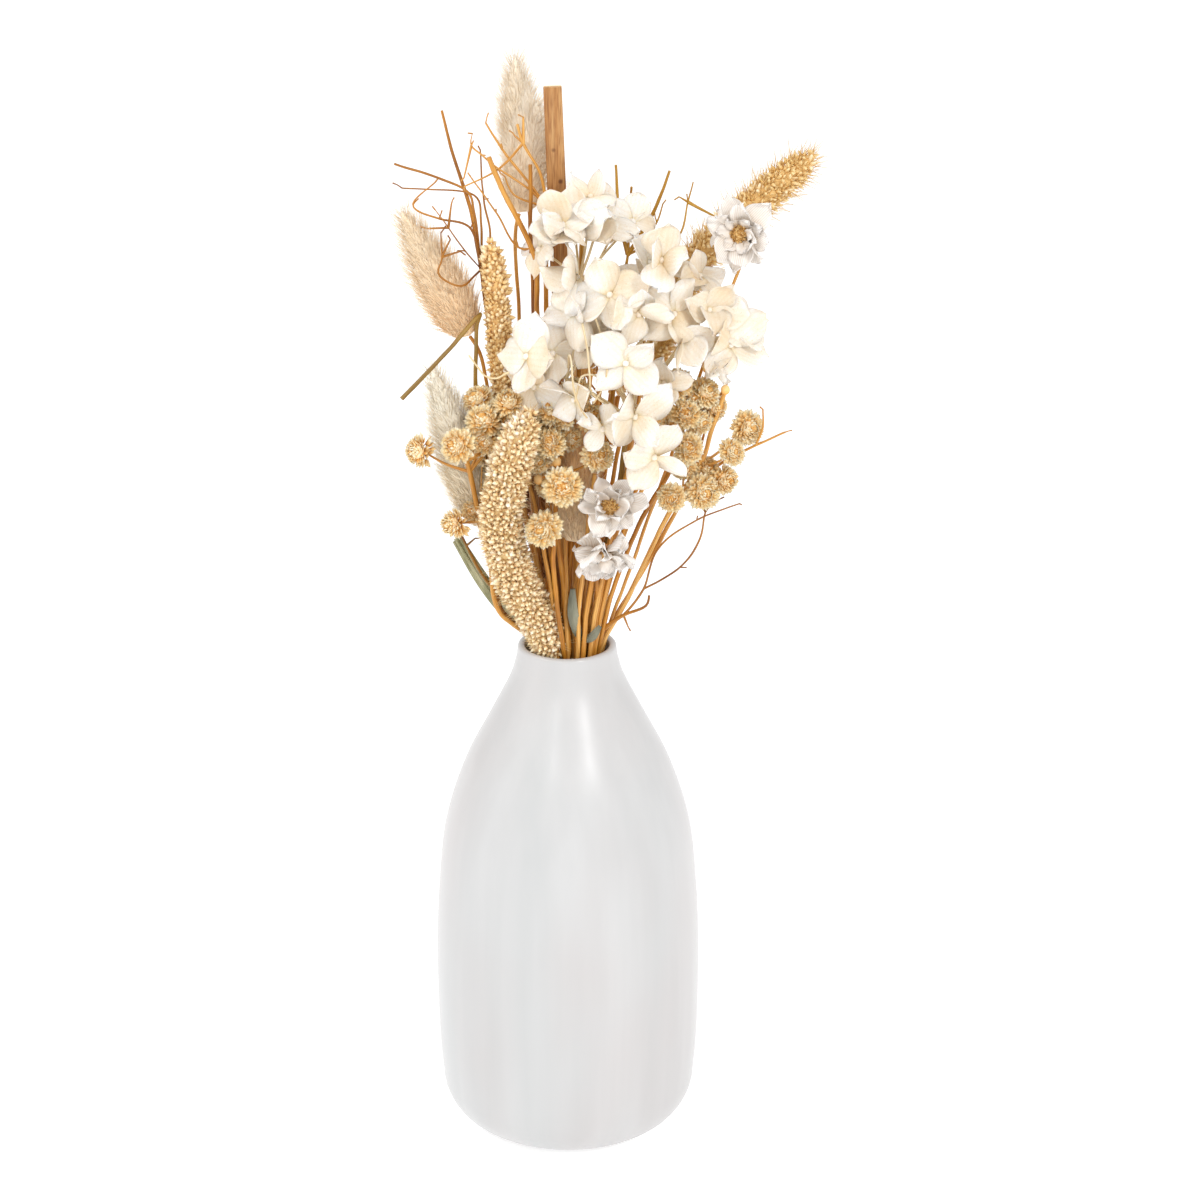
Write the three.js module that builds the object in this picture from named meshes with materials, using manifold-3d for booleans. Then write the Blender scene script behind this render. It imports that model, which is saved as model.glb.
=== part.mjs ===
// A white bottle vase that holds a bouquet of dried flowers: bunny tail grass, millet spikes,
// a white hydrangea bloom, strawflowers, small daisies, cut stalks, twigs, a wooden slat and leaves.
// Millimetres. The origin is the centre of the vase's foot, +Z is up and the front faces -Y.
import * as THREE from 'three';
import { mergeVertices } from 'three/addons/utils/BufferGeometryUtils.js';
import Module from 'manifold-3d';

const wasm = await Module();
wasm.setup();

// Vase: outer radius at each height of the body, then the wall, lip and foot
const VASE_HEIGHT = 174;
const FOOT_RADIUS = 25;
const FOOT_ROUNDING = 18;
const BODY = [[44.3, 39], [44.6, 64], [43.5, 88], [41, 110], [34.5, 131], [25.8, 148.5], [19.1, 162], [16.8, 169.5]];
const WALL = 3;
const LIP_RADIUS = 1.3;
const MOUTH_RADIUS = 13.8;
const INNER_FLOOR = 6;
const NECK_DEPTH = 14;
const VASE_SEGMENTS = 30;

// Clearances between neighbours that aren't one piece
const SEAT_GAP = 0.3;
const STEM_GAP = 0.5;

// Real thicknesses
const STALK = 0.75;
const THIN_STALK = 0.55;
const TWIG = 0.4;
const PETAL_THICKNESS = 0.6;
const LEAF_THICKNESS = 1.2;
const LEAF_FOLD = 0.5;

// Edges shorter than this melt away where shapes are fused
const MERGE = 0.1;

// Places are [across, depth, height]. Bunny tails: where the head starts, its tip and its half width
const TAILS = {
  bunny_tail_top: { base: [-13, 24, 326], tip: [-16.5, 24, 366], half: 7.2 },
  bunny_tail_upper: { base: [-15, 7, 319], tip: [-9, 9, 355], half: 7.4 },
  bunny_tail_left: { base: [-31, -3, 281], tip: [-52, -6, 323], half: 8.2 },
  bunny_tail_low_left: { base: [-26, -2, 216], tip: [-43, -11, 273], half: 7.2 },
  bunny_tail_middle: { base: [3, -4, 211], tip: [2, -5, 261], half: 6.9 },
};

// Spikes: the axis from the lower end to the tip, half width, and how far the grains and bristles stand out
const SPIKES = {
  spike_front: {
    axis: [[-3.4, -4, 171], [-8.5, -8, 184], [-13.5, -11.5, 194], [-18, -15.5, 206], [-21, -20, 221],
      [-20, -24, 234], [-16, -26, 250], [-11, -25, 263]],
    half: 6.6, low: 0.48, columns: 12, rows: 30, grain: 1.3, bristles: 0,
  },
  spike_upper: {
    axis: [[-20, -5, 257], [-21, -6, 277], [-22, -7, 295], [-24, -7, 313]],
    half: 4.3, low: 0.7, columns: 8, rows: 24, grain: 1.1, bristles: 0,
  },
  spike_right: {
    axis: [[27, 9, 267], [33, 9, 281], [42, 9, 302], [54, 9, 315], [67, 10, 327], [80, 11, 337]],
    half: 5.4, low: 0.7, columns: 8, rows: 28, grain: 1.1, bristles: 20,
  },
  spike_back: {
    axis: [[-6, 8, 192], [-9, 8, 212], [-10, 8, 232], [-13, 8, 250], [-19, 9, 266]],
    half: 4.6, low: 0.7, columns: 8, rows: 22, grain: 1.1, bristles: 0,
  },
};

// Hydrangea: branching points of the bloom, then each floret's centre, the way it faces (turn to the
// right, lift above level), its roll, its span and the branching point that it hangs from
const BLOOM_FOOT = [21, -14, 256];
const BLOOM_FORKS = [[4, -9, 300], [24, -16, 283], [38, -16, 284], [0, -17, 271], [24, -20, 262]];
const FLORETS = [
  [3, -16, 321, -10, 40, 50, 27, 0],
  [-1, -17, 322, 0, 15, 70, 24, 0],
  [11, -14, 322, 10, 45, 35, 24, 0],
  [21, -8, 320, 25, 40, 20, 20, 0],
  [30, -27, 313, 12, 25, 30, 28, 1],
  [14, -31, 303, -5, 20, -30, 26, 1],
  [4, -22, 306, -50, 20, 60, 26, 0],
  [3, -24, 295, -45, 0, 70, 24, 3],
  [23, -31, 297, 0, -15, 40, 24, 1],
  [34, -28, 296, 15, 0, 12, 25, 2],
  [45, -21, 295, 40, 20, 20, 24, 2],
  [37, -24, 286, 25, -5, -10, 24, 2],
  [52, -22, 284, 28, 5, 8, 27, 2],
  [-12, -25, 281, -42, 8, 45, 28, 3],
  [-4, -19, 280, -10, 20, 60, 20, 3],
  [3, -28, 268, -35, -25, 75, 23, 3],
  [19, -35, 282, 0, 0, -5, 27, 1],
  [22, -34, 264, 5, 0, 2, 28, 4],
  [12, -31, 259, -30, -10, 30, 17, 4],
  [28, -32, 250, 10, -15, 8, 24, 4],
  [14, -2, 312, 160, 60, 30, 24, 0],
  [34, -10, 305, 110, 55, 60, 24, 1],
  [24, -3, 296, 170, 35, 10, 24, 1],
];

// Papery strawflowers: centre, the way each faces, half width
const STRAWFLOWERS = {
  strawflower_right: { at: [55, -14, 318], turn: -25, lift: 15, half: 9.2 },
  strawflower_front: { at: [14, -26, 231], turn: -5, lift: 12, half: 8.2 },
  strawflower_low: { at: [12, -22, 214], turn: -10, lift: -40, half: 8.2 },
};

// Daisy sprays: the main stem's upper points, then each head's centre, half width and the way it faces,
// and each round bud's centre; a head grows from the main stem's nearest point
const SPRAYS = {
  daisy_spray_left: {
    stem: [[-27, -13, 222], [-31, -19, 240]],
    heads: [[-46, -15, 246, 4.6, -60, 10], [-34, -25, 251, 5.4, -30, 20], [-26, -16, 256, 5, -10, 40],
      [-18, -17, 262, 4.8, -10, 60], [-35, -14, 221, 4.2, -60, 0]],
    buds: [],
  },
  daisy_spray_front: {
    stem: [[-4, -17, 204], [-3, -19, 218], [-3, -15, 238]],
    heads: [[-1, -27, 238, 5.4, 0, 25], [-7, -25, 223, 5.2, -15, 15], [10, -20, 246, 5, 20, 25],
      [-5, -19, 250, 4.8, -5, 35], [3, -13, 265, 4.4, 5, 50], [-5, -16, 260, 4.4, -10, 40]],
    buds: [[-5, -14, 242], [-9, -17, 237]],
  },
  daisy_spray_right: {
    stem: [[32, -9, 220], [43, -12, 240]],
    heads: [[58, -12, 253, 4.8, 30, 15], [53, -19, 247, 3.8, 20, 20], [44, -17, 233, 5.2, 15, 10],
      [34, -20, 232, 4.6, 0, 15], [39, -21, 249, 4.6, 5, 25], [38, -17, 259, 4.8, 5, 30],
      [35.5, -15, 268, 4.6, -10, 40], [44, -13, 265, 4.8, 30, 30], [50, -14, 236, 4.4, 40, 10]],
    buds: [[45, -12, 273], [51, -13, 266]],
  },
  daisy_spray_back: {
    stem: [[12, 16, 225], [13, 20, 240]],
    heads: [[10, 20, 268, 4.8, 170, 40], [22, 22, 257, 4.6, 150, 25], [2, 24, 252, 4.6, 190, 20],
      [30, 16, 246, 4.4, 130, 20]],
    buds: [[16, 26, 262]],
  },
};

// Trimmed stalks and twigs: the stem's own points, then each branch as a half thickness and its points
const TWIGS = {
  twigs_left: {
    stem: [[-27, -2, 302]],
    branches: [
      [STALK, [-27, -2, 302], [-30, 1, 320], [-35, 3, 337], [-39, 4, 353]],
      [TWIG, [-27, -2, 302], [-30, -5, 317], [-40, -7, 321], [-48, -9, 326], [-41, -8, 333]],
      [TWIG, [-27, -2, 302], [-29, -3, 321], [-33, -3, 330], [-54, -4, 338]],
      [TWIG, [-27, -2, 302], [-27, -1, 317], [-30, 0, 327], [-52, -1, 329]],
      [TWIG, [-27, -2, 302], [-24, -2, 313], [-26, 0, 325], [-27, 1, 341]],
      [TWIG, [-27, -2, 302], [-32, -6, 310], [-37, -8, 318], [-44, -8, 318]],
      [TWIG, [-32, -6, 310], [-37, -8, 318], [-36, -9, 326]],
      [TWIG, [-32, -6, 310], [-37, -8, 318], [-41, -7, 324]],
      [TWIG, [-27, -2, 302], [-33, -15, 301], [-40, -16, 305], [-39, -16, 311], [-39, -17, 319]],
      [TWIG, [-40, -16, 305], [-39, -16, 311], [-33, -17, 313]],
      [TWIG, [-40, -16, 305], [-39, -16, 311], [-36, -18, 317]],
    ],
  },
  twigs_top: {
    stem: [[-6, -7, 312], [-5, -7, 323]],
    branches: [
      [THIN_STALK, [-5, -7, 323], [-12, -6, 333], [-20, -5, 343], [-25, -4, 351]],
      [THIN_STALK, [-5, -7, 323], [-8, -8, 336], [-13, -8, 345], [-13, -8, 354]],
      [TWIG, [-8, -8, 336], [-13, -8, 345], [-15, -9, 352]],
      [TWIG, [-13, -8, 345], [-16, -8, 348]],
      [TWIG, [-13, -8, 345], [-21, -7, 337], [-32, -6, 331]],
      [TWIG, [-5, -7, 323], [-12, -7, 331], [-22, -8, 338], [-31, -9, 346]],
      [TWIG, [-22, -8, 338], [-29, -9, 345], [-29, -10, 349]],
      [TWIG, [-29, -9, 345], [-32, -10, 335]],
      [TWIG, [-5, -7, 323], [-10, -6, 329], [-16, -5, 328], [-19, -5, 334]],
      [TWIG, [-5, -7, 323], [-2, -8, 329], [2, -9, 328]],
      [TWIG, [-6, -7, 312], [-15, -5, 311], [-22, -4, 322], [-30, -4, 334]],
    ],
  },
  twigs_upper_right: {
    stem: [[18, 9, 295], [19, 9, 303]],
    branches: [
      [STALK, [19, 9, 303], [17, 12, 316], [16, 14, 333]],
      [STALK, [19, 9, 303], [22, 8, 307], [28, 7, 319], [33, 6, 333]],
      [TWIG, [19, 9, 303], [24, 6, 308], [29, 3, 317], [31, 3, 323]],
      [THIN_STALK, [18, 9, 295], [27, 4, 305], [36, 1, 326], [47, 0, 320]],
      [TWIG, [27, 4, 305], [36, 1, 313], [40, 0, 329]],
      [TWIG, [19, 9, 303], [20, 11, 318], [15, 11, 322]],
      [TWIG, [20, 11, 318], [25, 11, 322]],
      [TWIG, [20, 11, 318], [21, 9, 327]],
      [TWIG, [20, 11, 318], [26, 10, 316]],
    ],
  },
  twigs_right: {
    stem: [[18, -6, 186], [25, -9, 196]],
    branches: [
      [TWIG, [25, -9, 196], [37, -12, 205], [43, -14, 215], [45, -15, 225], [50, -16, 230]],
      [TWIG, [43, -14, 215], [45, -15, 225], [43, -14, 229]],
      [TWIG, [25, -9, 196], [30, -12, 212], [42, -17, 223], [56, -15, 228]],
      [TWIG, [18, -6, 186], [25, -9, 190], [27, -9, 194]],
      [TWIG, [25, -9, 190], [28, -9, 192]],
      [TWIG, [18, -6, 186], [20, -6, 182]],
    ],
  },
  twigs_far_right: {
    stem: [[31, -3, 212], [40, -6, 232]],
    branches: [
      [THIN_STALK, [40, -6, 232], [50, -9, 240], [61, -16, 248], [70, -17, 253]],
      [TWIG, [61, -16, 248], [63, -18, 255], [63, -18, 261]],
      [TWIG, [40, -6, 232], [46, -8, 255], [52, -10, 268]],
    ],
  },
  twigs_low_left: {
    stem: [[-22, -3, 192], [-28, -7, 201]],
    branches: [
      [TWIG, [-28, -7, 201], [-33, -8, 211], [-35, -8, 216]],
      [TWIG, [-28, -7, 201], [-33, -8, 211], [-30, -9, 214]],
    ],
  },
};

// Single cut stalks: upper points and half thickness
const STALKS = {
  stalk_tall: { points: [[-9, -11, 290], [-10, -11, 310], [-15, -11, 321], [-20, -11, 332], [-24, -11, 342]], half: 0.9 },
  stalk_short: { points: [[-11, -9, 318], [-11, -9, 339]], half: 0.7 },
  stalk_snapped: {
    points: [[-29, -3, 256], [-28.5, -8, 284], [-27.5, -10, 290], [-39, -17, 278.5], [-52, -24, 266.5]], half: 0.75,
  },
  stalk_back_left: { points: [[-18, 14, 262], [-22, 17, 286]], half: 0.9 },
  stalk_back_middle: { points: [[4, 18, 280], [5, 20, 306]], half: 0.9 },
  stalk_back_right: { points: [[24, 14, 268], [30, 16, 292]], half: 0.8 },
};

// Wooden slat: upper points, half width and half thickness
const SLAT = { points: [[-1, 0, 284], [-2, -1, 300], [-4, -4, 363]], half: 2.9, thin: 0.8 };

// Leaves: a long folded dry leaf at the left, and a thin stem with two small leaves at the front, each blade
// as the points along its midrib; then half widths
const GREEN_LEAF = { blades: [[[-11, 1, 177.5], [-17.5, 1, 181.5], [-27, 1, 194], [-36.5, 2, 210]]], half: 1.7 };
const SMALL_LEAVES = {
  blades: [[[4.5, -9, 179], [3.2, -11, 183], [2, -13, 190], [2, -13, 198]], [[4.5, -9, 179], [8, -11, 180], [11, -12, 184.5]]],
  half: 2.2,
};

// Colours of the plain solids
const CREAM = 0xeadcc4;
const STRAW = 0xd9b882;
const GOLD = 0xc88a3c;
const BROWN = 0xa87440;
const WHITE = 0xf3ede6;
const GLAZE = 0xe6e5e3;
const WOOD = 0xcd9a62;
const OLIVE = 0x8a8b5a;
const GREY_GREEN = 0x7e8a7c;

const bouquet = new THREE.Group();
const UP = new THREE.Vector3(0, 0, 1);
const vector = (place) => new THREE.Vector3(...place);

// The same draw each time, so the petals and hairs always fall the same way
let draw = 7;
function random(low, high) {
  draw = (draw * 1664525 + 1013904223) % 4294967296;
  return low + (high - low) * (draw / 4294967296);
}

// Joining shapes into one body

function solid(geometry) {
  const bare = geometry.clone();
  bare.deleteAttribute('normal');
  bare.deleteAttribute('uv');
  const merged = mergeVertices(bare, 1e-4);
  return new wasm.Manifold(new wasm.Mesh({
    numProp: 3,
    vertProperties: new Float32Array(merged.attributes.position.array),
    triVerts: new Uint32Array(merged.index.array),
  }));
}

function fuse(solids) {
  let whole = solids[0];
  for (const next of solids.slice(1)) {
    whole = whole.add(next);
  }
  return whole;
}

function addPiece(name, body, colour, roughness) {
  const bodies = body.asOriginal().simplify(MERGE).decompose();
  bodies.sort((one, other) => other.volume() - one.volume());
  const mesh = bodies[0].getMesh();
  const geometry = new THREE.BufferGeometry();
  geometry.setAttribute('position', new THREE.BufferAttribute(new Float32Array(mesh.vertProperties), 3));
  geometry.setIndex(new THREE.BufferAttribute(new Uint32Array(mesh.triVerts), 1));
  const material = new THREE.MeshStandardMaterial({ color: colour, roughness, metalness: 0 });
  const piece = new THREE.Mesh(geometry, material);
  piece.name = name;
  bouquet.add(piece);
}

// Shapes bent along a line of points

// Tangent and two cross directions at every point, carried along without twisting
function frames(points, wide) {
  const list = [];
  let side = wide ? wide.clone() : new THREE.Vector3(0.31, 0.95, 0.05);
  for (let i = 0; i < points.length; i += 1) {
    const before = points[Math.max(i - 1, 0)];
    const after = points[Math.min(i + 1, points.length - 1)];
    const tangent = after.clone().sub(before).normalize();
    side = side.clone().addScaledVector(tangent, -side.dot(tangent)).normalize();
    list.push({ tangent, side, other: tangent.clone().cross(side) });
  }
  return list;
}

// A straight closed bar along Y, bent so that its ring i lies at point i with its own half thickness; `fold`
// raises its middle over its edges
function bend(geometry, points, halves, wide, fold = 0) {
  const frame = frames(points, wide);
  const place = geometry.attributes.position;
  for (let v = 0; v < place.count; v += 1) {
    const i = Math.round((place.getY(v) + 0.5) * (points.length - 1));
    const spot = points[i].clone();
    const rise = place.getZ(v) + fold * (1 - Math.abs(place.getX(v)));
    spot.addScaledVector(frame[i].side, rise * halves[i]);
    spot.addScaledVector(frame[i].other, place.getX(v) * halves[i]);
    place.setXYZ(v, spot.x, spot.y, spot.z);
  }
  return solid(geometry);
}

function stick(points, halves, sides) {
  return bend(new THREE.CylinderGeometry(1, 1, 1, sides, points.length - 1), points, halves);
}

function board(points, halves, thin, wide) {
  return bend(new THREE.BoxGeometry(2, 1, 2 * thin, 1, points.length - 1, 1), points, halves, wide);
}

// A leaf folded along its midrib, narrower at its foot and its tip
function leaf(points, half) {
  const places = points.map(vector);
  const halves = places.map((_, i) => half * (0.5 + 0.5 * Math.sin((Math.PI * i) / (points.length - 1))));
  const geometry = new THREE.BoxGeometry(2, 1, LEAF_THICKNESS / half, 2, places.length - 1, 1);
  return bend(geometry, places, halves, new THREE.Vector3(0, 1, 0), -LEAF_FOLD);
}

// A closed sleeve round an axis: `raise` gives each grid point's radius and slip towards the tip
function sleeve(axis, columns, rows, raise) {
  const curve = new THREE.CatmullRomCurve3(axis);
  const points = curve.getSpacedPoints(rows);
  const frame = frames(points);
  const length = curve.getLength();
  const geometry = new THREE.SphereGeometry(1, columns, rows);
  const place = geometry.attributes.position;
  for (let v = 0; v < place.count; v += 1) {
    const row = rows - Math.floor(v / (columns + 1));
    const column = (v % (columns + 1)) % columns;
    const angle = (2 * Math.PI * (column + (row % 2) / 2)) / columns;
    const atPole = row === 0 || row === rows;
    const { radius, slip } = raise(row / rows, row, column, length);
    const spot = points[row].clone();
    if (!atPole) {
      spot.addScaledVector(frame[row].side, Math.cos(angle) * radius);
      spot.addScaledVector(frame[row].other, Math.sin(angle) * radius);
      spot.addScaledVector(frame[row].tangent, slip);
    }
    place.setXYZ(v, spot.x, spot.y, spot.z);
  }
  return solid(geometry);
}

// A hair, bristle or bract: a thin cone with its broad end sunk in what it grows from
function needle(root, direction, length, half, sides = 3) {
  const geometry = new THREE.ConeGeometry(half, length, sides);
  geometry.translate(0, length / 2, 0);
  const turn = new THREE.Quaternion().setFromUnitVectors(new THREE.Vector3(0, 1, 0), direction.clone().normalize());
  geometry.applyQuaternion(turn);
  geometry.translate(root.x, root.y, root.z);
  return solid(geometry);
}

// The placing of a flower: its face looks along local +Z, turned to the right and lifted from the front
function facing(at, turn, lift, roll = 0) {
  const rad = Math.PI / 180;
  const face = new THREE.Vector3(
    Math.sin(turn * rad) * Math.cos(lift * rad),
    -Math.cos(turn * rad) * Math.cos(lift * rad),
    Math.sin(lift * rad),
  );
  const right = UP.clone().cross(face).normalize();
  const basis = new THREE.Matrix4().makeBasis(right, face.clone().cross(right), face);
  basis.multiply(new THREE.Matrix4().makeRotationZ(roll * rad));
  basis.setPosition(vector(at));
  return basis;
}

// A ring of petals in one thin blade: a disc whose rim runs out to each petal's tip and back to the notch
// between two petals, and rises by `lift`; `shape` holds the reach at even steps from notch to notch
function petalRing(count, half, shape, lift, matrix) {
  const columns = count * shape.length;
  const geometry = new THREE.CylinderGeometry(1, 1, PETAL_THICKNESS, columns);
  const tilts = Array.from({ length: count }, () => random(-0.12, 0.12));
  const place = geometry.attributes.position;
  for (let v = 0; v < place.count; v += 1) {
    const atRim = Math.hypot(place.getX(v), place.getZ(v)) > 0.5 ? 1 : 0;
    const angle = Math.atan2(place.getX(v), place.getZ(v)) + 2 * Math.PI;
    const column = Math.round((angle / (2 * Math.PI)) * columns) % columns;
    const reach = half * shape[column % shape.length] * atRim;
    const tilt = tilts[Math.floor(column / shape.length)] * atRim;
    const rise = lift(reach / half) * half + tilt * reach + place.getY(v);
    place.setXYZ(v, Math.cos(angle) * reach, Math.sin(angle) * reach, rise);
  }
  geometry.applyMatrix4(matrix);
  return solid(geometry);
}

// Vase

function bodyCurve() {
  return new THREE.SplineCurve(BODY.map(([radius, height]) => new THREE.Vector2(radius, height)));
}

function vaseProfile() {
  const outline = [new THREE.Vector2(0, 0)];
  const foot = new THREE.EllipseCurve(FOOT_RADIUS, FOOT_ROUNDING, FOOT_ROUNDING, FOOT_ROUNDING, -Math.PI / 2, 0);
  outline.push(...foot.getPoints(4));
  outline.push(...bodyCurve().getPoints(8));
  const lipCentre = new THREE.Vector2(MOUTH_RADIUS + LIP_RADIUS, VASE_HEIGHT - LIP_RADIUS);
  const lip = new THREE.EllipseCurve(lipCentre.x, lipCentre.y, LIP_RADIUS, LIP_RADIUS, 0, Math.PI);
  outline.push(...lip.getPoints(4));
  outline.push(new THREE.Vector2(MOUTH_RADIUS, VASE_HEIGHT - 8));
  for (const [radius, height] of BODY.slice(0, 6).reverse()) {
    outline.push(new THREE.Vector2(radius - WALL, height));
  }
  outline.push(new THREE.Vector2(FOOT_RADIUS + 14, 20));
  outline.push(new THREE.Vector2(FOOT_RADIUS + 5, INNER_FLOOR + 3));
  outline.push(new THREE.Vector2(FOOT_RADIUS - 3, INNER_FLOOR));
  outline.push(new THREE.Vector2(0, INNER_FLOOR));
  return outline;
}

// Room for stems inside the vase: its inner radius at a height
function roomAt(height) {
  if (height >= VASE_HEIGHT - NECK_DEPTH) {
    return MOUTH_RADIUS * Math.cos(Math.PI / VASE_SEGMENTS);
  }
  const outer = BODY.filter(([, level]) => level < VASE_HEIGHT - 20);
  let room = FOOT_RADIUS - 3;
  for (let i = 0; i + 1 < outer.length; i += 1) {
    const [lowRadius, low] = outer[i];
    const [highRadius, high] = outer[i + 1];
    if (height >= low && height <= high) {
      room = lowRadius + ((highRadius - lowRadius) * (height - low)) / (high - low) - WALL - 1;
    }
  }
  return room;
}

// Stems: every strand is a line of places, some held where the flower needs them and the rest free

const strands = [];
const keepOut = [];

const NECK_LEVELS = [60, 120, VASE_HEIGHT - NECK_DEPTH, VASE_HEIGHT + 1.5];
const FREE_POINTS = 6;

function addStem(plant, upper, halfLow, halfTop, arrive) {
  const held = upper.map(vector);
  const first = held[0];
  const spread = Math.min(9, 3 + Math.hypot(first.x, first.y) * 0.18);
  const lean = new THREE.Vector2(first.x, first.y).normalize().multiplyScalar(spread);
  const points = [new THREE.Vector3(lean.x * 1.2, lean.y * 1.2, INNER_FLOOR + SEAT_GAP)];
  const levels = NECK_LEVELS.filter((level) => level < first.z - 5);
  for (const level of levels) {
    points.push(new THREE.Vector3(lean.x, lean.y, level));
  }
  const neck = points[points.length - 1];
  const gap = first.distanceTo(neck);
  const outward = first.clone().sub(neck).normalize().lerp(UP, 0.3);
  const into = arrive ? vector(arrive) : first.clone().sub(neck);
  const rise = new THREE.CubicBezierCurve3(
    neck,
    neck.clone().addScaledVector(outward, gap * 0.35),
    first.clone().addScaledVector(into.normalize(), -gap * 0.25),
    first,
  );
  const count = Math.max(2, Math.min(FREE_POINTS, Math.round(gap / 18)));
  for (let i = 1; i < count; i += 1) {
    points.push(rise.getPoint(i / count));
  }
  const free = points.length;
  points.push(...held);
  const halves = points.map((_, i) => halfLow + ((halfTop - halfLow) * i) / (points.length - 1));
  strands.push({ plant, points, halves, held: points.map((_, i) => i >= free), levels, more: 0 });
}

// A held branch; `more` is the room that it needs beyond its own thickness, as a leaf's midrib does
function addBranch(plant, points, half, more = 0) {
  const places = points.map(vector);
  const halves = places.map(() => half);
  strands.push({ plant, points: places, halves, held: places.map(() => true), levels: [], more });
}

function keepClear(plant, centre, radius) {
  keepOut.push({ plant, centre, radius });
}

// Where two straight stretches come closest, as shares of their lengths
function closest(a, b, c, d) {
  const u = b.clone().sub(a);
  const v = d.clone().sub(c);
  const w = a.clone().sub(c);
  const uu = u.lengthSq();
  const vv = v.lengthSq();
  const uv = u.dot(v);
  const across = uu * vv - uv * uv;
  let s = across > 1e-9 ? THREE.MathUtils.clamp((uv * v.dot(w) - vv * u.dot(w)) / across, 0, 1) : 0.5;
  const t = THREE.MathUtils.clamp((uv * s + v.dot(w)) / vv, 0, 1);
  s = THREE.MathUtils.clamp((uv * t - u.dot(w)) / uu, 0, 1);
  return { s, t, away: w.addScaledVector(u, s).addScaledVector(v, -t) };
}

// Two stretches that pass too close push each other apart; a held end doesn't give way
function pushApart(one, i, other, k) {
  const [a, b] = [one.points[i], one.points[i + 1]];
  const [c, d] = [other.points[k], other.points[k + 1]];
  const oneHalf = Math.max(one.halves[i], one.halves[i + 1]) + one.more;
  const otherHalf = Math.max(other.halves[k], other.halves[k + 1]) + other.more;
  const need = oneHalf + otherHalf + STEM_GAP;
  const reach = (a.distanceTo(b) + c.distanceTo(d)) / 2 + need;
  const between = [a.x + b.x - c.x - d.x, a.y + b.y - c.y - d.y, a.z + b.z - c.z - d.z];
  if (Math.hypot(...between) > 2 * reach) {
    return;
  }
  const { s, t, away } = closest(a, b, c, d);
  const distance = away.length();
  if (distance >= need || distance < 1e-6) {
    return;
  }
  const oneFree = !(one.held[i] && one.held[i + 1]);
  const otherFree = !(other.held[k] && other.held[k + 1]);
  away.multiplyScalar((need - distance) / distance / (oneFree && otherFree ? 2 : 1));
  for (const [point, held, weight] of [[a, one.held[i], 1 - s], [b, one.held[i + 1], s],
    [c, other.held[k], t - 1], [d, other.held[k + 1], -t]]) {
    if (!held) {
      point.addScaledVector(away, weight);
    }
  }
}

function settleStems(rounds) {
  for (let round = 0; round < rounds; round += 1) {
    const straighten = 0.12 * Math.max(0, 1 - (1.5 * round) / rounds);
    for (const strand of strands) {
      for (let i = strand.levels.length; i + 1 < strand.points.length; i += 1) {
        if (!strand.held[i]) {
          const middle = strand.points[i - 1].clone().lerp(strand.points[i + 1], 0.5);
          strand.points[i].lerp(middle, straighten);
        }
      }
    }
    strands.forEach((one, first) => {
      for (const other of strands.slice(first + 1).filter(({ plant }) => plant !== one.plant)) {
        for (let i = 0; i + 1 < one.points.length; i += 1) {
          for (let k = 0; k + 1 < other.points.length; k += 1) {
            if (!(one.held[i] && other.held[k])) {
              pushApart(one, i, other, k);
            }
          }
        }
      }
    });
    for (const strand of strands) {
      settleStrand(strand);
    }
  }
}

// Free points leave the heads' space, keep their level inside the vase and stay off its wall
function settleStrand(strand) {
  strand.points.forEach((point, i) => {
    if (strand.held[i]) {
      return;
    }
    for (const { plant, centre, radius } of keepOut) {
      const away = point.clone().sub(centre);
      const need = radius + strand.halves[i] + STEM_GAP;
      if (plant !== strand.plant && away.length() < need) {
        away.setLength(need - away.length());
        point.add(away.setZ(away.z * 0.3));
      }
    }
    if (i <= strand.levels.length) {
      point.z = i === 0 ? INNER_FLOOR + SEAT_GAP : strand.levels[i - 1];
      const room = roomAt(point.z) - strand.halves[i] - STEM_GAP;
      const reach = Math.hypot(point.x, point.y);
      if (reach > room) {
        point.x *= room / reach;
        point.y *= room / reach;
      }
    }
  });
}

// Bunny tails

function tailRadius(t, half) {
  return half * Math.sin(Math.PI * Math.min(1, t * 0.94 + 0.06) ** 0.72) ** 0.75;
}

const TAIL_HAIRS = 10;

function tailHead(base, tip, half) {
  const axis = [0, 0.35, 0.7, 1].map((t) => base.clone().lerp(tip, t));
  const along = tip.clone().sub(base).normalize();
  const core = sleeve(axis, 10, 12, (t, row, column) => {
    const tuft = (row + column) % 2 === 0 ? 1.3 : 0;
    return { radius: tailRadius(t, half - 1) + tuft, slip: tuft * 1.4 };
  });
  const parts = [core];
  const frame = frames(axis)[1];
  for (let i = 0; i < TAIL_HAIRS; i += 1) {
    const t = 0.25 + (0.7 * (i + 0.5)) / TAIL_HAIRS;
    const angle = i * 2.4;
    const out = frame.side.clone().multiplyScalar(Math.cos(angle)).addScaledVector(frame.other, Math.sin(angle));
    const root = base.clone().lerp(tip, t).addScaledVector(out, tailRadius(t, half) * 0.5);
    parts.push(needle(root, along.clone().multiplyScalar(1.6).add(out), random(8, 10), 0.7));
  }
  return fuse(parts);
}

for (const [name, { base, tip, half }] of Object.entries(TAILS)) {
  const foot = vector(base);
  const end = vector(tip);
  addPiece(`${name}_head`, tailHead(foot, end, half), CREAM, 0.9);
  const along = end.clone().sub(foot).normalize();
  for (let t = 0.05; t < 1; t += 0.15) {
    keepClear(name, foot.clone().lerp(end, t), tailRadius(t, half) + 1.6);
  }
  const top = foot.clone().addScaledVector(along, -SEAT_GAP);
  const below = top.clone().addScaledVector(along, -8);
  addStem(name, [below.toArray(), top.toArray()], 0.9, 0.6, along.toArray());
}

// Millet and foxtail spikes

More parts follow.
